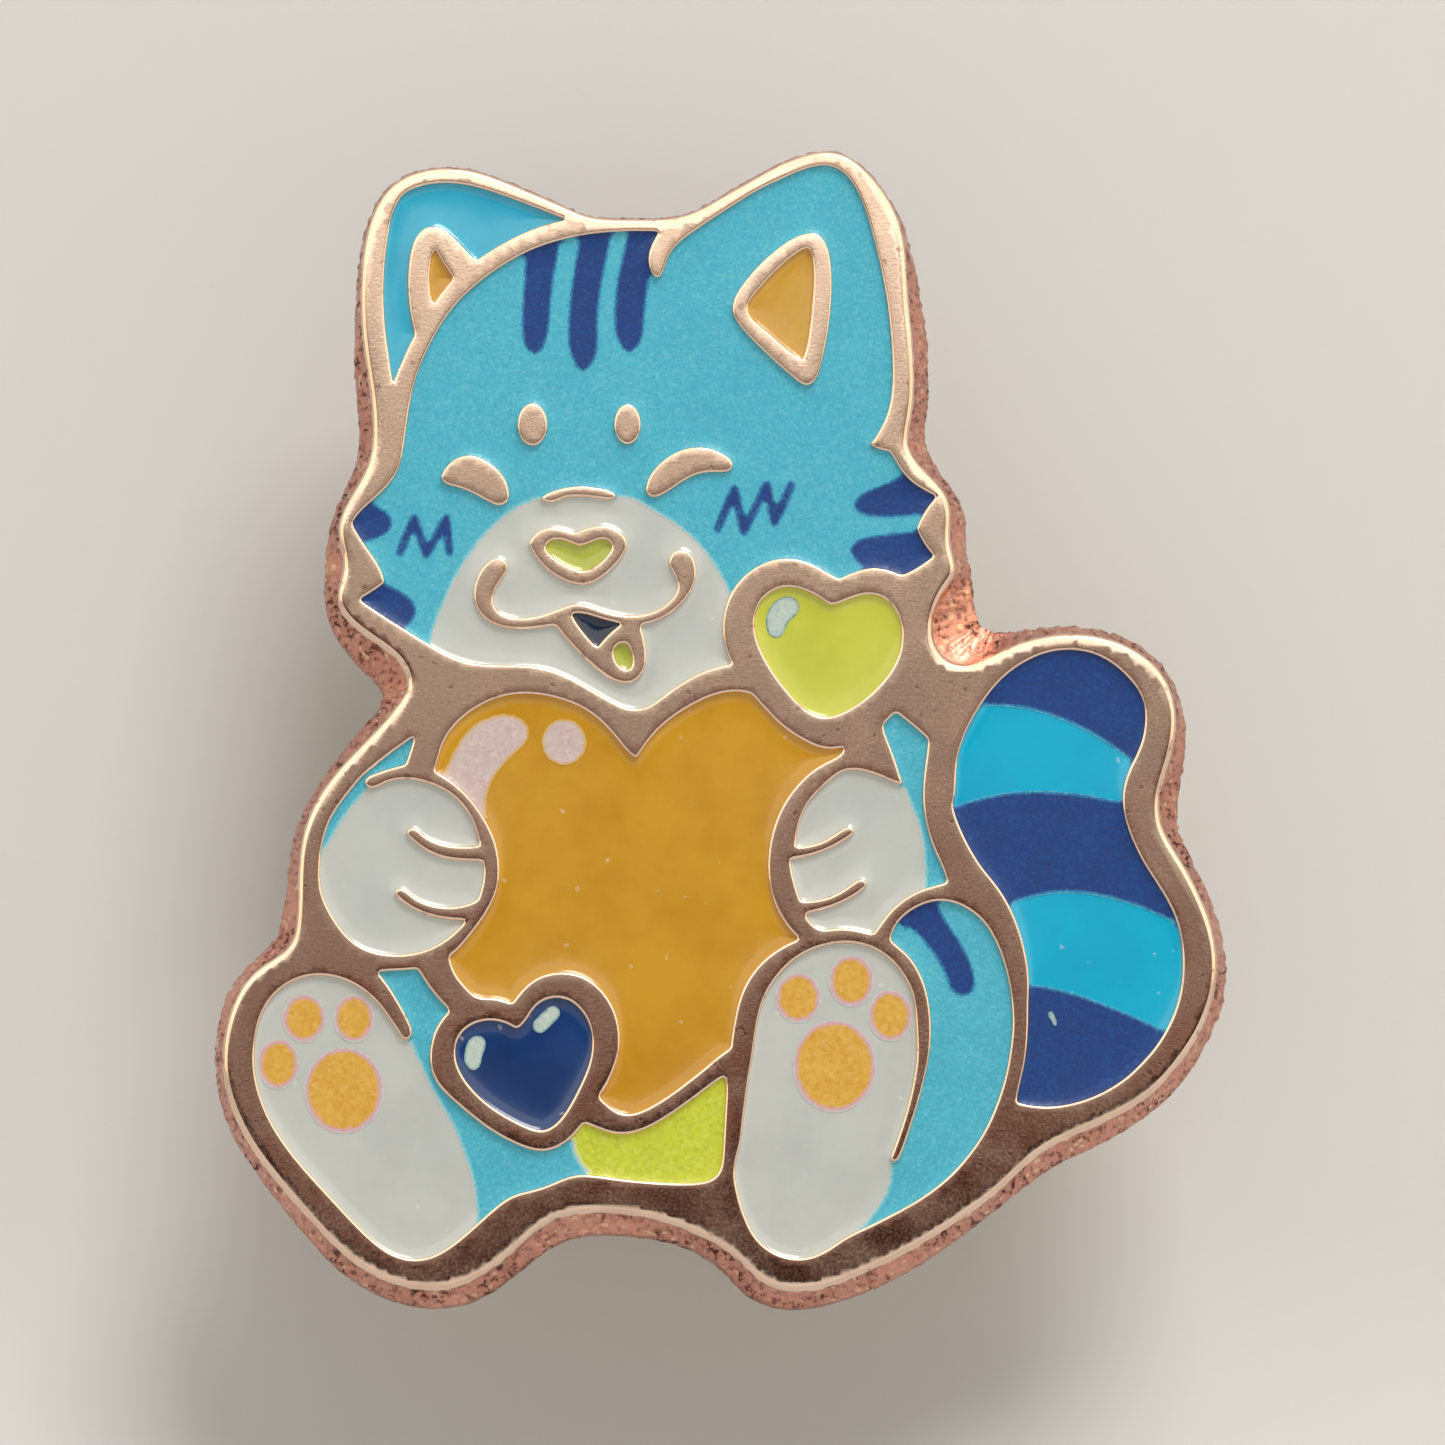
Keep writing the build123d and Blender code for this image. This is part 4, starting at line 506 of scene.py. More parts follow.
face_region = [rim_edge] + walls
face_flat, face_faces = fill(face_region, walls, FACE_RINGS, FACE_SPACING)
plate_parts = [(upright(face_flat, line_height(face_flat)), face_faces)]
for loop in walls:
    plate_parts.append(band([upright(loop, FACE + LINE_ROUND), upright(loop, ENAMEL), upright(loop, FLOOR)]))
for loops in cells.values():
    floor_flat, floor_faces = fill(loops, loops)
    plate_parts.append((upright(floor_flat, FLOOR), floor_faces))
print("face", len(face_faces), "triangles")

# %% [markdown]
# ## The trimmed side
#
# The side of a struck pin is cut by a tool after striking: the crest is polished
# round, then the wall flares out, torn and finely serrated, to the foot of the plate.
# It is a profile carried round the rim, so each place on the crest needs its partner
# on the foot. The nearest point will do if it never steps backwards.

# %% From the crest to the foot
FOOT_Y = -0.95           # depth where the flare has reached its full width in the CAD model
EVENING = 40             # how many times the partners' places are averaged


def partner(inner, outer):
    """For each inner point its partner on the outer loop.

    The nearest outer point, made to run forwards only, then averaged with its
    neighbours many times so that the steps are even.
    """
    fine = evenly(outer, STEP / 6)
    place = np.unwrap(squares(inner, fine).argmin(axis=1).astype(float), period=len(fine))
    place = np.maximum.accumulate(place)
    place = np.minimum(place, place[0] + len(fine))
    for _ in range(EVENING):
        back = np.concatenate([[place[-1] - len(fine)], place[:-1]])
        front = np.concatenate([place[1:], [place[0] + len(fine)]])
        place = 0.25 * back + 0.5 * place + 0.25 * front
    whole = np.arange(len(fine) + 1)
    closed = np.vstack([fine, fine[:1]])
    return np.column_stack([np.interp(place % len(fine), whole, closed[:, k]) for k in (0, 1)])


foot = partner(rim_edge, outlines("base_plate", FOOT_Y)[0])
flare = np.linalg.norm(foot - rim_edge, axis=1)
print("the side flares out by", round(float(flare.min()), 2), "to", round(float(flare.max()), 2), "mm")

# %% [markdown]
# ## Torn metal as geometry
#
# Roughness that can be seen edge-on has to be real displacement: ridges across the
# wall, and pits. A Displace modifier could do it, with a vertex group that spares the
# polished crest. The profile is already a grid of rows, though, so it is simpler to
# push each row in or out by random heights, times a share of its own.

# %% Rim profile carried round the pin
def bumps(count, rows, cell, seed):
    """Smooth random heights in 0..1 on a (rows, count) grid, closed round the rim.

    A coarse grid of random numbers, one for each cell of (steps along, rows), is
    read between its points with a share s eased by s * s * (3 - 2 * s).
    """
    table = np.random.default_rng(seed).random((rows // cell[1] + 3, max(3, count // cell[0])))
    s = np.arange(count) / count * table.shape[1]
    r = np.arange(rows) / cell[1]
    s0 = s.astype(int)
    r0 = r.astype(int)
    fs = s - s0
    fs = fs * fs * (3 - 2 * fs)
    fr = ((r - r0) ** 2 * (3 - 2 * (r - r0)))[:, None]
    left = s0 % table.shape[1]
    right = (s0 + 1) % table.shape[1]
    top = table[r0][:, left] * (1 - fs) + table[r0][:, right] * fs
    low = table[r0 + 1][:, left] * (1 - fs) + table[r0 + 1][:, right] * fs
    return top * (1 - fr) + low * fr


# The crest's rows, as (out from the rim, down from the face), the flare's, as shares of
# the way from the crest to the foot, and the side's, as depths.
CREST = [(0.05, 0.006), (0.10, 0.03), (0.145, 0.07), (0.18, 0.12), (0.205, 0.18)]
FLARE = [0.06, 0.16, 0.28, 0.4, 0.52, 0.64, 0.76, 0.88, 1.0]
SIDE = [-0.82, -0.68, -0.54, -0.40, -0.26, -0.12]
FLARE_TOP = FACE + 0.2
RIDGES = 0.07            # height of the broad ridges
TEETH = 0.05             # height of the fine teeth that run across the wall
PIT_DEPTH = 0.09
PIT_FROM = 0.74          # random heights above this make a pit
INSET = 0.02             # the torn side lies this far inside the CAD side on the whole
BACK_INSET = 0.12        # width of the slope from the side to the flat back
crest_line = rim_edge + outward(rim_edge) * CREST[-1][0]
rows = [upright(rim_edge, FACE)]
rows += [upright(rim_edge + outward(rim_edge) * out, FACE + down) for out, down in CREST]
rows += [upright(crest_line * (1 - share) + foot * share, FLARE_TOP * (1 - share) + FOOT_Y * share)
         for share in FLARE]
rows += [upright(foot, y) for y in SIDE]
full = [1.0] * (len(FLARE) - 1 + len(SIDE) - 1)
torn_share = np.array([0] * 4 + [0.15, 0.4] + [0.8] + full + [0.4])[:, None]
count = len(rim_edge)
torn = (bumps(count, len(rows), (2, 2), 5) - 0.5) * RIDGES
torn += (bumps(count, len(rows), (1, 9), 6) - 0.5) * TEETH
pits = -PIT_DEPTH * np.clip(bumps(count, len(rows), (3, 3), 8) - PIT_FROM, 0, 1) / (1 - PIT_FROM)
push = torn_share * (torn + pits) - INSET * torn_share
across = outward(foot)
rows = [row + np.column_stack([across[:, 0], np.zeros(count), across[:, 1]]) * push[i][:, None]
        for i, row in enumerate(rows)]
back_ring = foot - across * BACK_INSET
plate_parts.append(band(rows + [upright(back_ring, 0.0)]))
back_flat, back_faces = fill([back_ring], [back_ring], (0.3,), 0.6)
plate_parts.append((upright(back_flat, 0.0), back_faces))
plate = build("struck_plate", plate_parts, math.radians(55))
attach(plate, "pin")
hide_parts("base_plate")
print("plate", len(plate.data.polygons), "faces, deepest pit", round(float(-push.min()), 2), "mm")

# %% [markdown]
# ## Building materials by code
#
# A material is a graph, and graphs get long when every node is set up by hand. One
# helper adds a node, sets its properties and fills its inputs from values or from
# other nodes' outputs. Patterns are read on Object coordinates, in metres, so a noise
# scale of 1000 makes features about a millimetre across, the same on every piece.

# %% Node helpers
# Sockets of a Mix node, which has one set for numbers and one for colours.
SHARE, NUMBER_A, NUMBER_B, COLOUR_A, COLOUR_B = 0, 2, 3, 6, 7
NUMBER_OUT, COLOUR_OUT = 0, 2


def linear(code):
    """A linear colour from a display colour code: the sRGB curve taken off each channel."""
    parts = [int(code[i:i + 2], 16) / 255 for i in (1, 3, 5)]
    return (*[c / 12.92 if c < 0.04045 else ((c + 0.055) / 1.055) ** 2.4 for c in parts], 1.0)


def put(tree, kind, given, **settings):
    """Add a node with its own settings, and feed each named input a value or another node's output."""
    node = tree.nodes.new(kind)
    for key, value in settings.items():
        setattr(node, key, value)
    for key, value in given.items():
        if isinstance(value, bpy.types.NodeSocket):
            tree.links.new(value, node.inputs[key])
        else:
            node.inputs[key].default_value = value
    return node


def mix(tree, share, a, b):
    """Colour a turning into b as share goes from 0 to 1."""
    node = put(tree, "ShaderNodeMix", {SHARE: share, COLOUR_A: a, COLOUR_B: b}, data_type="RGBA")
    return node.outputs[COLOUR_OUT]


def mix_numbers(tree, share, a, b):
    """Number a turning into b as share goes from 0 to 1."""
    node = put(tree, "ShaderNodeMix", {SHARE: share, NUMBER_A: a, NUMBER_B: b})
    return node.outputs[NUMBER_OUT]


def span(tree, value, low, high, to_low=0.0, to_high=1.0):
    """A value stretched so that low..high becomes to_low..to_high, and cut off beyond."""
    return put(tree, "ShaderNodeMapRange", {0: value, 1: low, 2: high, 3: to_low, 4: to_high}).outputs[0]


def sums(tree, operation, a, b=0.0):
    """One arithmetic step."""
    return put(tree, "ShaderNodeMath", {0: a, 1: b}, operation=operation).outputs[0]


def noise(tree, at, scale, detail=2.0, rough=0.5):
    """Soft random clouds between 0 and 1, with features 1/scale metres across."""
    given = {"Vector": at, "Scale": scale, "Detail": detail, "Roughness": rough}
    return put(tree, "ShaderNodeTexNoise", given).outputs[0]


def flecks(tree, at, scale):
    """One random number for each little cell of a Voronoi pattern."""
    cells_of = put(tree, "ShaderNodeTexVoronoi", {"Vector": at, "Scale": scale})
    return put(tree, "ShaderNodeSeparateColor", {"Color": cells_of.outputs["Color"]}).outputs[0]


def new_group(name, inputs, outputs):
    """An empty shader group with its sockets, its coordinates and its two ends."""
    tree = bpy.data.node_groups.new(name, "ShaderNodeTree")
    for label, kind, value in inputs:
        tree.interface.new_socket(label, in_out="INPUT", socket_type=kind).default_value = value
    for label, kind in outputs:
        tree.interface.new_socket(label, in_out="OUTPUT", socket_type=kind)
    at = put(tree, "ShaderNodeTexCoord", {}).outputs["Object"]
    return tree, at, tree.nodes.new("NodeGroupInput").outputs, tree.nodes.new("NodeGroupOutput")


def finish_group(tree, end, results):
    """Wire the results into the group's outputs."""
    for label, socket in results.items():
        tree.links.new(socket, end.inputs[label])
    return tree


COLOUR = "NodeSocketColor"
NUMBER = "NodeSocketFloat"
SURFACE = [("Color", COLOUR), ("Roughness", NUMBER), ("Height", NUMBER)]
WHITE = (1.0, 1.0, 1.0, 1.0)
print("mid grey", linear("#808080")[0], "as a linear colour")

# %% [markdown]
# ## Poured enamel
#
# Enamel is smooth glass-like colour with slow waves and a speck of dust here and
# there. It is used by several materials, so it is a node group, and like the groups
# after it, it puts out colours and numbers only.

# %% The enamel group
def enamel_group():
    """Base colour with slow cloudiness, dust specks and a gently wavy skin."""
    tree, at, given, end = new_group("Poured enamel", [
        ("Pigment", COLOUR, WHITE), ("Cloud", COLOUR, WHITE)], SURFACE)
    clouds = noise(tree, at, 420.0, 4.0, 0.6)
    colour = mix(tree, span(tree, clouds, 0.38, 0.68, 0.0, 0.75), given["Pigment"], given["Cloud"])
    dust = span(tree, flecks(tree, at, 8000.0), 0.998, 0.9995, 0.0, 0.25)
    colour = mix(tree, dust, colour, linear("#efe6da"))
    fine = noise(tree, at, 9000.0, 2.0)
    roughness = sums(tree, "ADD", span(tree, fine, 0.3, 0.7, 0.13, 0.2), sums(tree, "MULTIPLY", dust, 0.5))
    waves = noise(tree, at, 650.0, 1.0)
    height = sums(tree, "ADD", waves, sums(tree, "MULTIPLY", fine, 0.06))
    return finish_group(tree, end, {"Color": colour, "Roughness": roughness, "Height": height})


poured_enamel = enamel_group()
print("enamel group", len(poured_enamel.nodes), "nodes")

# %% [markdown]
# ## Screen print
#
# A print is a layer of coarse pigment. It sparkles grain by grain and breaks up at its
# open edges, where the colour below shows through. The attribute on each film says
# how near its edge is, and noise added to that distance makes the edge ragged.

# %% The print group
def print_group():
    """Grains lighter and darker than the ink, thinning out at an open edge into a fringe."""
    tree, at, given, end = new_group("Screen print", [
        ("Ink", COLOUR, WHITE), ("Deep", COLOUR, WHITE), ("Bright", COLOUR, WHITE), ("Fringe", COLOUR, WHITE),
        ("Under", COLOUR, WHITE), ("Edge", NUMBER, 0.12), ("Grain", NUMBER, 7000.0)], SURFACE)
    grain = noise(tree, at, given["Grain"], 2.0, 0.6)
    cloudy = noise(tree, at, 700.0, 3.0)
    lot = flecks(tree, at, given["Grain"])
    colour = mix(tree, span(tree, grain, 0.42, 0.72, 0.0, 0.7), given["Ink"], given["Deep"])
    colour = mix(tree, span(tree, cloudy, 0.45, 0.75, 0.0, 0.35), colour, given["Deep"])
    colour = mix(tree, span(tree, lot, 0.7, 1.0, 0.0, 0.22), colour, given["Bright"])
    colour = mix(tree, span(tree, lot, 0.0, 0.2, 0.5, 0.0), colour, given["Deep"])
    distance = put(tree, "ShaderNodeAttribute", {}, attribute_name="open_edge").outputs["Fac"]
    shift = sums(tree, "MULTIPLY", sums(tree, "SUBTRACT", grain, 0.5), 0.16)
    ragged = sums(tree, "DIVIDE", sums(tree, "ADD", distance, shift), given["Edge"])
    colour = mix(tree, span(tree, ragged, 0.7, 1.5), given["Fringe"], colour)
    colour = mix(tree, span(tree, ragged, 0.1, 0.55), given["Under"], colour)
    roughness = span(tree, lot, 0.0, 1.0, 0.5, 0.28)
    height = sums(tree, "ADD", sums(tree, "MULTIPLY", grain, 0.7), sums(tree, "MULTIPLY", lot, 0.3))
    return finish_group(tree, end, {"Color": colour, "Roughness": roughness, "Height": height})


screen_print = print_group()
print("print group", len(screen_print.nodes), "nodes")

# %% [markdown]
# ## Plating
#
# Plating is a thin bright film that goes dull in patches and holds hairlines from
# polishing. Hairlines are noise stretched along one direction by a Mapping node.

# %% The plating group
HAIR_TURN = (0.0, 0.6, 0.0)
HAIR_SCALE = (900.0, 900.0, 14000.0)


def plating_group():
    """Bright film with duller patches, hairlines one way and small dark spots."""
    tree, at, given, end = new_group("Rose plating", [
        ("Bright", COLOUR, WHITE), ("Dull", COLOUR, WHITE), ("Spot", COLOUR, WHITE),
        ("Polish", NUMBER, 0.1)], SURFACE)
    patches = noise(tree, at, 520.0, 4.0, 0.65)
    grain = noise(tree, at, 9500.0, 2.0)
    along = put(tree, "ShaderNodeMapping", {"Vector": at, "Rotation": HAIR_TURN, "Scale": HAIR_SCALE})
    hair = noise(tree, along.outputs[0], 1.0, 1.0)
    spots = span(tree, flecks(tree, at, 7000.0), 0.985, 0.995, 0.0, 0.4)
    colour = mix(tree, span(tree, patches, 0.42, 0.68, 0.0, 0.6), given["Bright"], given["Dull"])
    colour = mix(tree, spots, colour, given["Spot"])
    rough = sums(tree, "ADD", given["Polish"], span(tree, patches, 0.4, 0.75, 0.0, 0.08))
    rough = sums(tree, "ADD", rough, span(tree, grain, 0.4, 0.8, 0.0, 0.06))
    height = sums(tree, "ADD", sums(tree, "MULTIPLY", hair, 0.08), sums(tree, "MULTIPLY", grain, 0.4))
    height = sums(tree, "SUBTRACT", height, sums(tree, "MULTIPLY", spots, 0.5))
    return finish_group(tree, end, {"Color": colour, "Roughness": rough, "Height": height})


rose_plating = plating_group()
print("plating group", len(rose_plating.nodes), "nodes")

# %% [markdown]
# ## Torn side
#
# A trimmed side is torn metal that was plated afterwards: serrations that run across
# the wall and small smooth facets. Painted shade darkens the valleys of the serrations, and
# painted highlights make the facets pale, as if they caught the light. The serrations are noise
# stretched along Y, the pin's depth.

# %% The torn side group
TEETH_SCALE = (5200.0, 1500.0, 5200.0)


def torn_group():
    """Serrations, dark red painted shade in their valleys and pale painted highlights on facets."""
    tree, at, given, end = new_group("Torn side", [
        ("Metal", COLOUR, WHITE), ("Pit", COLOUR, WHITE)], SURFACE)
    across = put(tree, "ShaderNodeMapping", {"Vector": at, "Scale": TEETH_SCALE}).outputs[0]
    teeth = noise(tree, across, 1.0, 3.0, 0.6)
    patches = noise(tree, at, 480.0, 3.0, 0.7)
    lot = flecks(tree, at, 6200.0)
    # Painted shade: the colour darkens to dark red in the low valleys of the serrations, in patches.
    pits = sums(tree, "MULTIPLY", span(tree, teeth, 0.5, 0.38), span(tree, patches, 0.4, 0.62, 0.25, 1.0))
    colour = mix(tree, span(tree, patches, 0.35, 0.7, 0.0, 0.45), given["Metal"], linear("#8a4a3c"))
    colour = mix(tree, pits, colour, given["Pit"])
    # Painted highlight: the smoother facets are also painted pale, as if they caught the light.
    colour = mix(tree, span(tree, lot, 0.9, 0.98, 0.0, 0.5), colour, linear("#f4d8b4"))
    roughness = sums(tree, "ADD", span(tree, lot, 0.0, 1.0, 0.42, 0.22), sums(tree, "MULTIPLY", pits, 0.25))
    height = sums(tree, "ADD", teeth, sums(tree, "MULTIPLY", lot, 0.3))
    return finish_group(tree, end, {"Color": colour, "Roughness": roughness, "Height": height})


torn_side = torn_group()
print("torn side group", len(torn_side.nodes), "nodes")

# %% [markdown]
# ## One material for each finish
#
# The Principled shader stays in the material, and a group feeds its colour, roughness
# and a Bump node. Values that are the same everywhere, such as Metallic, are set on
# the shader's own sockets. Heights are in metres through Bump's Distance, so a grain
# of a few microns stays a few microns.

# %% Material builder
def surface(name, feed, relief, given, **fixed):
    """A material from one group: its colour, roughness and height, plus values fixed on the shader."""
    material = bpy.data.materials.new(name)
    material.use_nodes = True
    tree = material.node_tree
    shader = tree.nodes["Principled BSDF"]
    part = put(tree, "ShaderNodeGroup", {}, node_tree=feed)
    for label, value in given.items():
        part.inputs[label].default_value = value
    tree.links.new(part.outputs["Color"], shader.inputs["Base Color"])
    tree.links.new(part.outputs["Roughness"], shader.inputs["Roughness"])
    bump = put(tree, "ShaderNodeBump", {
        "Height": part.outputs["Height"], "Distance": relief, "Strength": 1.0})
    tree.links.new(bump.outputs[0], shader.inputs["Normal"])
    for label, value in fixed.items():
        shader.inputs[label.replace("_", " ")].default_value = value
    return material


def wear(piece, material):
    """Give a piece this one material."""
    piece.data.materials.clear()
    piece.data.materials.append(material)


MICRON = 1e-6
ENAMELS = {              # each cell's pigment, and the tone it clouds into
    "head": ("#c9ccc5", "#bcc0ba"), "left_paw": ("#c9ccc5", "#bcc0ba"), "right_paw": ("#c9ccc5", "#bcc0ba"),
    "left_foot_belly": ("#c9ccc5", "#bdc0ba"), "right_foot_leg": ("#c9ccc5", "#bdc0ba"),
    "left_ear_outer": ("#35b2d0", "#2a9cc0"), "tail": ("#00b2d6", "#0aa0c8"),
    "left_ear_inner": ("#d1a23f", "#c18a2c"), "right_ear_inner": ("#d1a23f", "#c18a2c"),
    "big_heart": ("#d09a24", "#bd8416"), "cheek_heart": ("#cdd04c", "#bcc03a"),
    "nose": ("#b8c04e", "#a4ac3c"), "tongue": ("#b8c04e", "#a4ac3c"),
    "small_heart": ("#0c3c78", "#082c60"), "mouth": ("#062444", "#041a34"),
}
finishes = {}
for cell, colours in ENAMELS.items():
    if colours not in finishes:
        given = dict(zip(("Pigment", "Cloud"), map(linear, colours)))
        finishes[colours] = surface("enamel_" + cell, poured_enamel, 7 * MICRON, given, Coat_Weight=0.25)
    wear(pools["enamel_" + cell], finishes[colours])
print("enamel materials", len(finishes))

# %% [markdown]
# ## The inks
#
# Every ink uses the same print group with its own values, so one table holds them all:
# five colours, how wide the fringe at an open edge is in millimetres, and the scale
# of the grain, where a larger number is a finer grain.

# %% Ink materials
INK_COLOURS = ("Ink", "Deep", "Bright", "Fringe", "Under")
PRINTS = {
    "light_blue": ("#4fb8ce", "#389fba", "#98d8dc", "#84c8d2", "#c9ccc5", 0.10, 10500.0),
    "dark_blue": ("#053a80", "#042a66", "#2a6cb0", "#2c7cac", "#4fb8ce", 0.09, 9000.0),
    "lime": ("#cdd43a", "#b4be2a", "#e6ea8c", "#d4dc84", "#c9ccc5", 0.10, 7000.0),
    "pads": ("#dfae4a", "#cf9428", "#f0cf86", "#d4a8b0", "#c9ccc5", 0.14, 6400.0),
    "pink_shine": ("#d2bdb8", "#c0a6a0", "#efe2dc", "#d2b078", "#d09a24", 0.09, 8200.0),
    # The pale shine ink is the printed shine marks on the hearts, and it also holds a small pale glint on a
    # dark stripe of the tail, which is a painted highlight.
    "pale_shine": ("#c2cfc4", "#a8bcb8", "#eef4ec", "#9cb4b0", "#5c8c9c", 0.06, 8200.0),
}
for ink, (*colours, edge, grain) in PRINTS.items():
    given = {**dict(zip(INK_COLOURS, map(linear, colours))), "Edge": edge, "Grain": grain}
    wear(films[ink], surface("print_" + ink, screen_print, 9 * MICRON, given, Specular_IOR_Level=0.4))
print("print materials", len(PRINTS))

# %% [markdown]
# ## Metal
#
# The plate needs two finishes on one mesh: polished plating on the face and torn metal
# on the side. The side begins where the rounded crest ends, so the depth below the
# face tells them apart. Depth is the object's Y coordinate, so no painting is needed.

# %% The plate's two metals
SIDE_FROM = FACE + 0.13  # where the plated crest starts to turn into the torn side
SIDE_WHOLE = FACE + 0.24
BACK_FROM = -0.02        # where the side ends and the plated back begins
BACK_WHOLE = -0.05
SIDE_RELIEF = 9.0        # the side's bumps are this many times as high as the plating's
PLATING = {"Bright": linear("#ecd0bc"), "Dull": linear("#dab8a4"), "Spot": linear("#7c4c3c"),
           "Polish": 0.07}
plate_metal = surface("plate_plating", rose_plating, 2 * MICRON, PLATING, Metallic=1.0)
tree = plate_metal.node_tree
shader = tree.nodes["Principled BSDF"]
face_finish = next(node for node in tree.nodes if node.type == "GROUP")
side_finish = put(tree, "ShaderNodeGroup", {}, node_tree=torn_side)
side_finish.inputs["Metal"].default_value = linear("#d89e8c")
# Dark red painted shade for the valleys of the side's serrations.
side_finish.inputs["Pit"].default_value = linear("#4a1c16")
where = put(tree, "ShaderNodeTexCoord", {}).outputs["Object"]
y = put(tree, "ShaderNodeSeparateXYZ", {"Vector": where}).outputs["Y"]
off_face = span(tree, y, SIDE_FROM * MM, SIDE_WHOLE * MM)
off_back = span(tree, y, BACK_FROM * MM, BACK_WHOLE * MM)
side = sums(tree, "MULTIPLY", off_face, off_back)
colour = mix(tree, side, face_finish.outputs["Color"], side_finish.outputs["Color"])
roughness = mix_numbers(tree, side, face_finish.outputs["Roughness"], side_finish.outputs["Roughness"])
side_height = sums(tree, "MULTIPLY", side_finish.outputs["Height"], SIDE_RELIEF)
height = mix_numbers(tree, side, face_finish.outputs["Height"], side_height)
bump = next(node for node in tree.nodes if node.type == "BUMP")
tree.links.new(colour, shader.inputs["Base Color"])
tree.links.new(roughness, shader.inputs["Roughness"])
tree.links.new(height, bump.inputs["Height"])
wear(plate, plate_metal)
print("plate material", len(tree.nodes), "nodes")

# %% [markdown]
# ## Posts, clutches and solder
#
# The CAD shapes of these small turned and stamped parts are good as they are, so they
# only get a finish. Clutches are brass-plated and duller than the pin, their springs
# duller still, and solder is grey with a crusted skin.

# %% Metals of the back
post_metal = surface("post_plating", rose_plating, 2 * MICRON, {**PLATING, "Polish": 0.2}, Metallic=1.0)
clutch_metal = surface("clutch_plating", rose_plating, 2 * MICRON, {
    "Bright": linear("#e6d2a8"), "Dull": linear("#c8ae80"), "Spot": linear("#6a5230"),
    "Polish": 0.2}, Metallic=1.0)
spring_metal = surface("spring_plating", rose_plating, 2 * MICRON, {
    "Bright": linear("#dccba6"), "Dull": linear("#b49c72"), "Spot": linear("#5c4a30"),
    "Polish": 0.26}, Metallic=1.0)
# The solder takes the torn side group, so it also gets painted shade in its valleys and painted pale
# highlights on facets.
solder_metal = surface("solder_skin", torn_side, 12 * MICRON, {
    "Metal": linear("#aaa49c"), "Pit": linear("#4c4842")}, Metallic=0.9)
for name in sorted(nodes):
    for start, metal in (("post", post_metal), ("solder", solder_metal)):
        if name.startswith(start):
            wear(nodes[name], metal)
    if name.startswith("clutch"):
        wear(nodes[name], clutch_metal if name.endswith("dish") else spring_metal)
print("metal on", sum(name.startswith(("post", "solder", "clutch")) for name in nodes), "nodes")

# %% [markdown]
# ## Light
#
# Polished metal shows what surrounds it. The flat tops of the lines reflect what is
# straight ahead, a gradient with height that is dark and warm below and cream above,
# so they run from cream at the top of the pin to red-brown at the bottom. The rounded
# edges reflect the bright warm surround beside it. A Light Path node lets only
# reflections see all this, while everything else gets an even, neutral light. One
# large soft lamp stands high in front on the right, and one behind for the back.

# %% World and lamps
AHEAD = [(-0.2, "#2a1c18"), (0.048, "#1c100c"), (0.064, "#644238"), (0.10, "#6c6661"),
         (0.14, "#8a857c"), (0.158, "#b8b2a6"), (0.174, "#f8f4ea"), (0.5, "#e6e2d6")]
AROUND = [(-0.9, "#6e5444"), (-0.3, "#a88c72"), (0.1, "#ecdcc0"), (0.6, "#f6ecd8")]
AHEAD_TO = -0.93         # direction's Y up to which the gradient ahead is seen
AROUND_FROM = -0.78      # and from which the surround is
SMOKE = 0.014            # how far noise shifts the gradient up and down
GLOW = 2.0               # strength in reflections
FILL = 0.52              # strength as plain light on the enamel and the card
world = bpy.data.worlds.new("studio")
world.use_nodes = True
bpy.context.scene.world = world
tree = world.node_tree
direction = put(tree, "ShaderNodeTexCoord", {}).outputs["Generated"]
axes = put(tree, "ShaderNodeSeparateXYZ", {"Vector": direction}).outputs
smoke = span(tree, noise(tree, direction, 14.0, 3.0), 0.3, 0.7, -SMOKE, SMOKE)


def sky(stops, value):
    """A colour ramp over heights, from (height, colour) stops in rising order."""
    low, high = stops[0][0], stops[-1][0]
    node = put(tree, "ShaderNodeValToRGB", {0: span(tree, value, low, high)})
    steps = node.color_ramp.elements
    while len(steps) < len(stops):
        steps.new(0.5)
    for step, (height, code) in zip(steps, stops):
        step.position = (height - low) / (high - low)
        step.color = linear(code)
    return node.outputs[0]


beside = span(tree, axes["Y"], AHEAD_TO, AROUND_FROM)
seen_in_gloss = mix(tree, beside, sky(AHEAD, sums(tree, "ADD", axes["Z"], smoke)), sky(AROUND, axes["Z"]))
background = tree.nodes["Background"]
glossy = put(tree, "ShaderNodeLightPath", {}).outputs["Is Glossy Ray"]
tree.links.new(mix(tree, glossy, linear("#f4f6f8"), seen_in_gloss), background.inputs["Color"])
tree.links.new(span(tree, glossy, 0.0, 1.0, FILL, GLOW), background.inputs["Strength"])


def lamp(name, place, aim, size, power, tint):
    """A square soft lamp at a place, aimed at a point."""
    light = bpy.data.lights.new(name, "AREA")
    light.size = size
    light.energy = power
    light.color = tint
    thing = bpy.data.objects.new(name, light)
    thing.location = place
    thing.rotation_euler = (Vector(aim) - Vector(place)).to_track_quat("-Z", "Y").to_euler()
    bpy.context.scene.collection.objects.link(thing)
    return thing


centre = (cad_box[0] + cad_box[1]) / 2
lamp("window", place=(0.12, -0.34, 0.40), aim=centre, size=0.22, power=1.7, tint=(1.0, 0.985, 0.96))
lamp("behind", place=(-0.15, 0.40, 0.30), aim=centre, size=0.30, power=2.0, tint=(1.0, 0.98, 0.95))
print("world", len(world.node_tree.nodes), "nodes, lamps", len(bpy.data.lights))

# %% [markdown]
# ## The card
#
# The pale card is a floor that curves up into a wall behind the clutches, in one
# sheet, so no corner shows. Seen from behind it would hide the pin. A Backfacing
# switch therefore makes it transparent from that side.

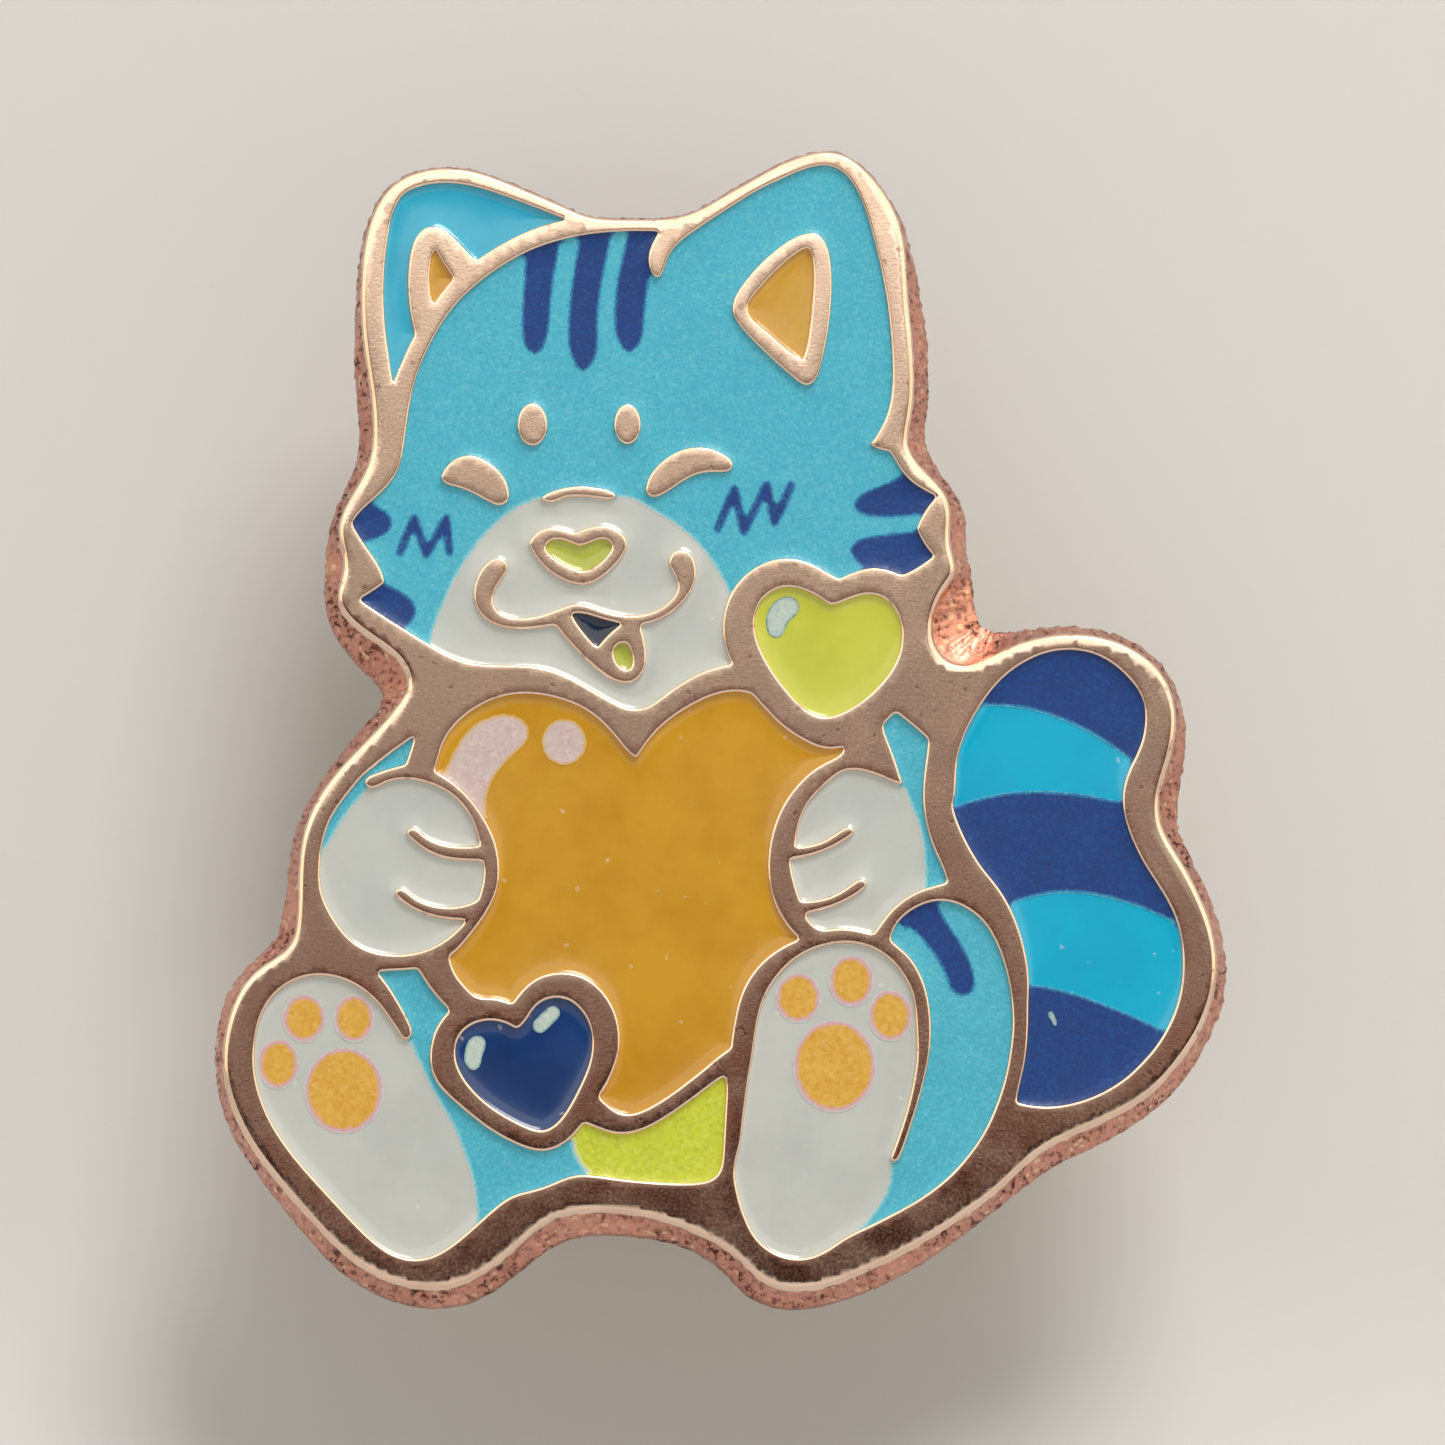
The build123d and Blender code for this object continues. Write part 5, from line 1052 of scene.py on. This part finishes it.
# %% Card
CARD_Y = 9.5 * MM        # the wall stands this far behind the plate's back
CARD_BEND = 18 * MM      # radius of the curve between floor and wall
CARD_HALF = 0.8          # how far it reaches to each side
FLOOR_Z = -30 * MM
turn = np.linspace(0, math.pi / 2, 25)
card_y = np.concatenate([[-CARD_HALF], CARD_Y - CARD_BEND + CARD_BEND * np.sin(turn), [CARD_Y]])
card_z = np.concatenate([[FLOOR_Z], FLOOR_Z + CARD_BEND * (1 - np.cos(turn)), [CARD_HALF]])
points = np.array([(x, y, z) for x in (-CARD_HALF, CARD_HALF) for y, z in zip(card_y, card_z)])
count = len(card_y)
quads = [(i, i + count, i + count + 1, i + 1) for i in range(count - 1)]
mesh = bpy.data.meshes.new("card")
mesh.from_pydata(points.tolist(), [], quads)
mesh.shade_smooth()
card = bpy.data.objects.new("card", mesh)
bpy.context.scene.collection.objects.link(card)
paper = bpy.data.materials.new("card_paper")
paper.use_nodes = True
tree = paper.node_tree
sheet = tree.nodes["Principled BSDF"]
sheet.inputs["Base Color"].default_value = linear("#dcd9d4")
sheet.inputs["Roughness"].default_value = 0.9
gone = put(tree, "ShaderNodeBsdfTransparent", {})
side_on = put(tree, "ShaderNodeNewGeometry", {}).outputs["Backfacing"]
either = put(tree, "ShaderNodeMixShader", {0: side_on, 1: sheet.outputs[0], 2: gone.outputs[0]})
tree.links.new(either.outputs[0], tree.nodes["Material Output"].inputs["Surface"])
mesh.materials.append(paper)
print("card", len(mesh.polygons), "faces")

# %% [markdown]
# ## The camera
#
# The camera looks at the pin's face from a little below and to one side. It is placed
# by two angles and a distance, and its lens follows from how wide a strip it should see.

# %% Camera
SENSOR = 36.0            # width of the camera's film, in millimetres
AZIMUTH = math.radians(1.5)
ELEVATION = math.radians(-6)
DISTANCE = 0.30
WIDTH_SEEN = 47 * MM
camera = bpy.data.objects.new("camera", bpy.data.cameras.new("camera"))
bpy.context.scene.collection.objects.link(camera)
toward = Vector((-math.sin(AZIMUTH) * math.cos(ELEVATION),
                 -math.cos(AZIMUTH) * math.cos(ELEVATION), math.sin(ELEVATION)))
front = Vector((centre.x, FACE * MM, centre.z))
camera.location = front + toward * DISTANCE
camera.rotation_euler = (front - camera.location).to_track_quat("-Z", "Y").to_euler()
camera.data.sensor_width = SENSOR
camera.data.lens = SENSOR * DISTANCE / WIDTH_SEEN
camera.data.clip_start = 0.01
bpy.context.scene.camera = camera
bpy.context.scene.view_settings.view_transform = "Standard"
print("camera at", [round(v, 3) for v in camera.location], "lens", round(camera.data.lens))
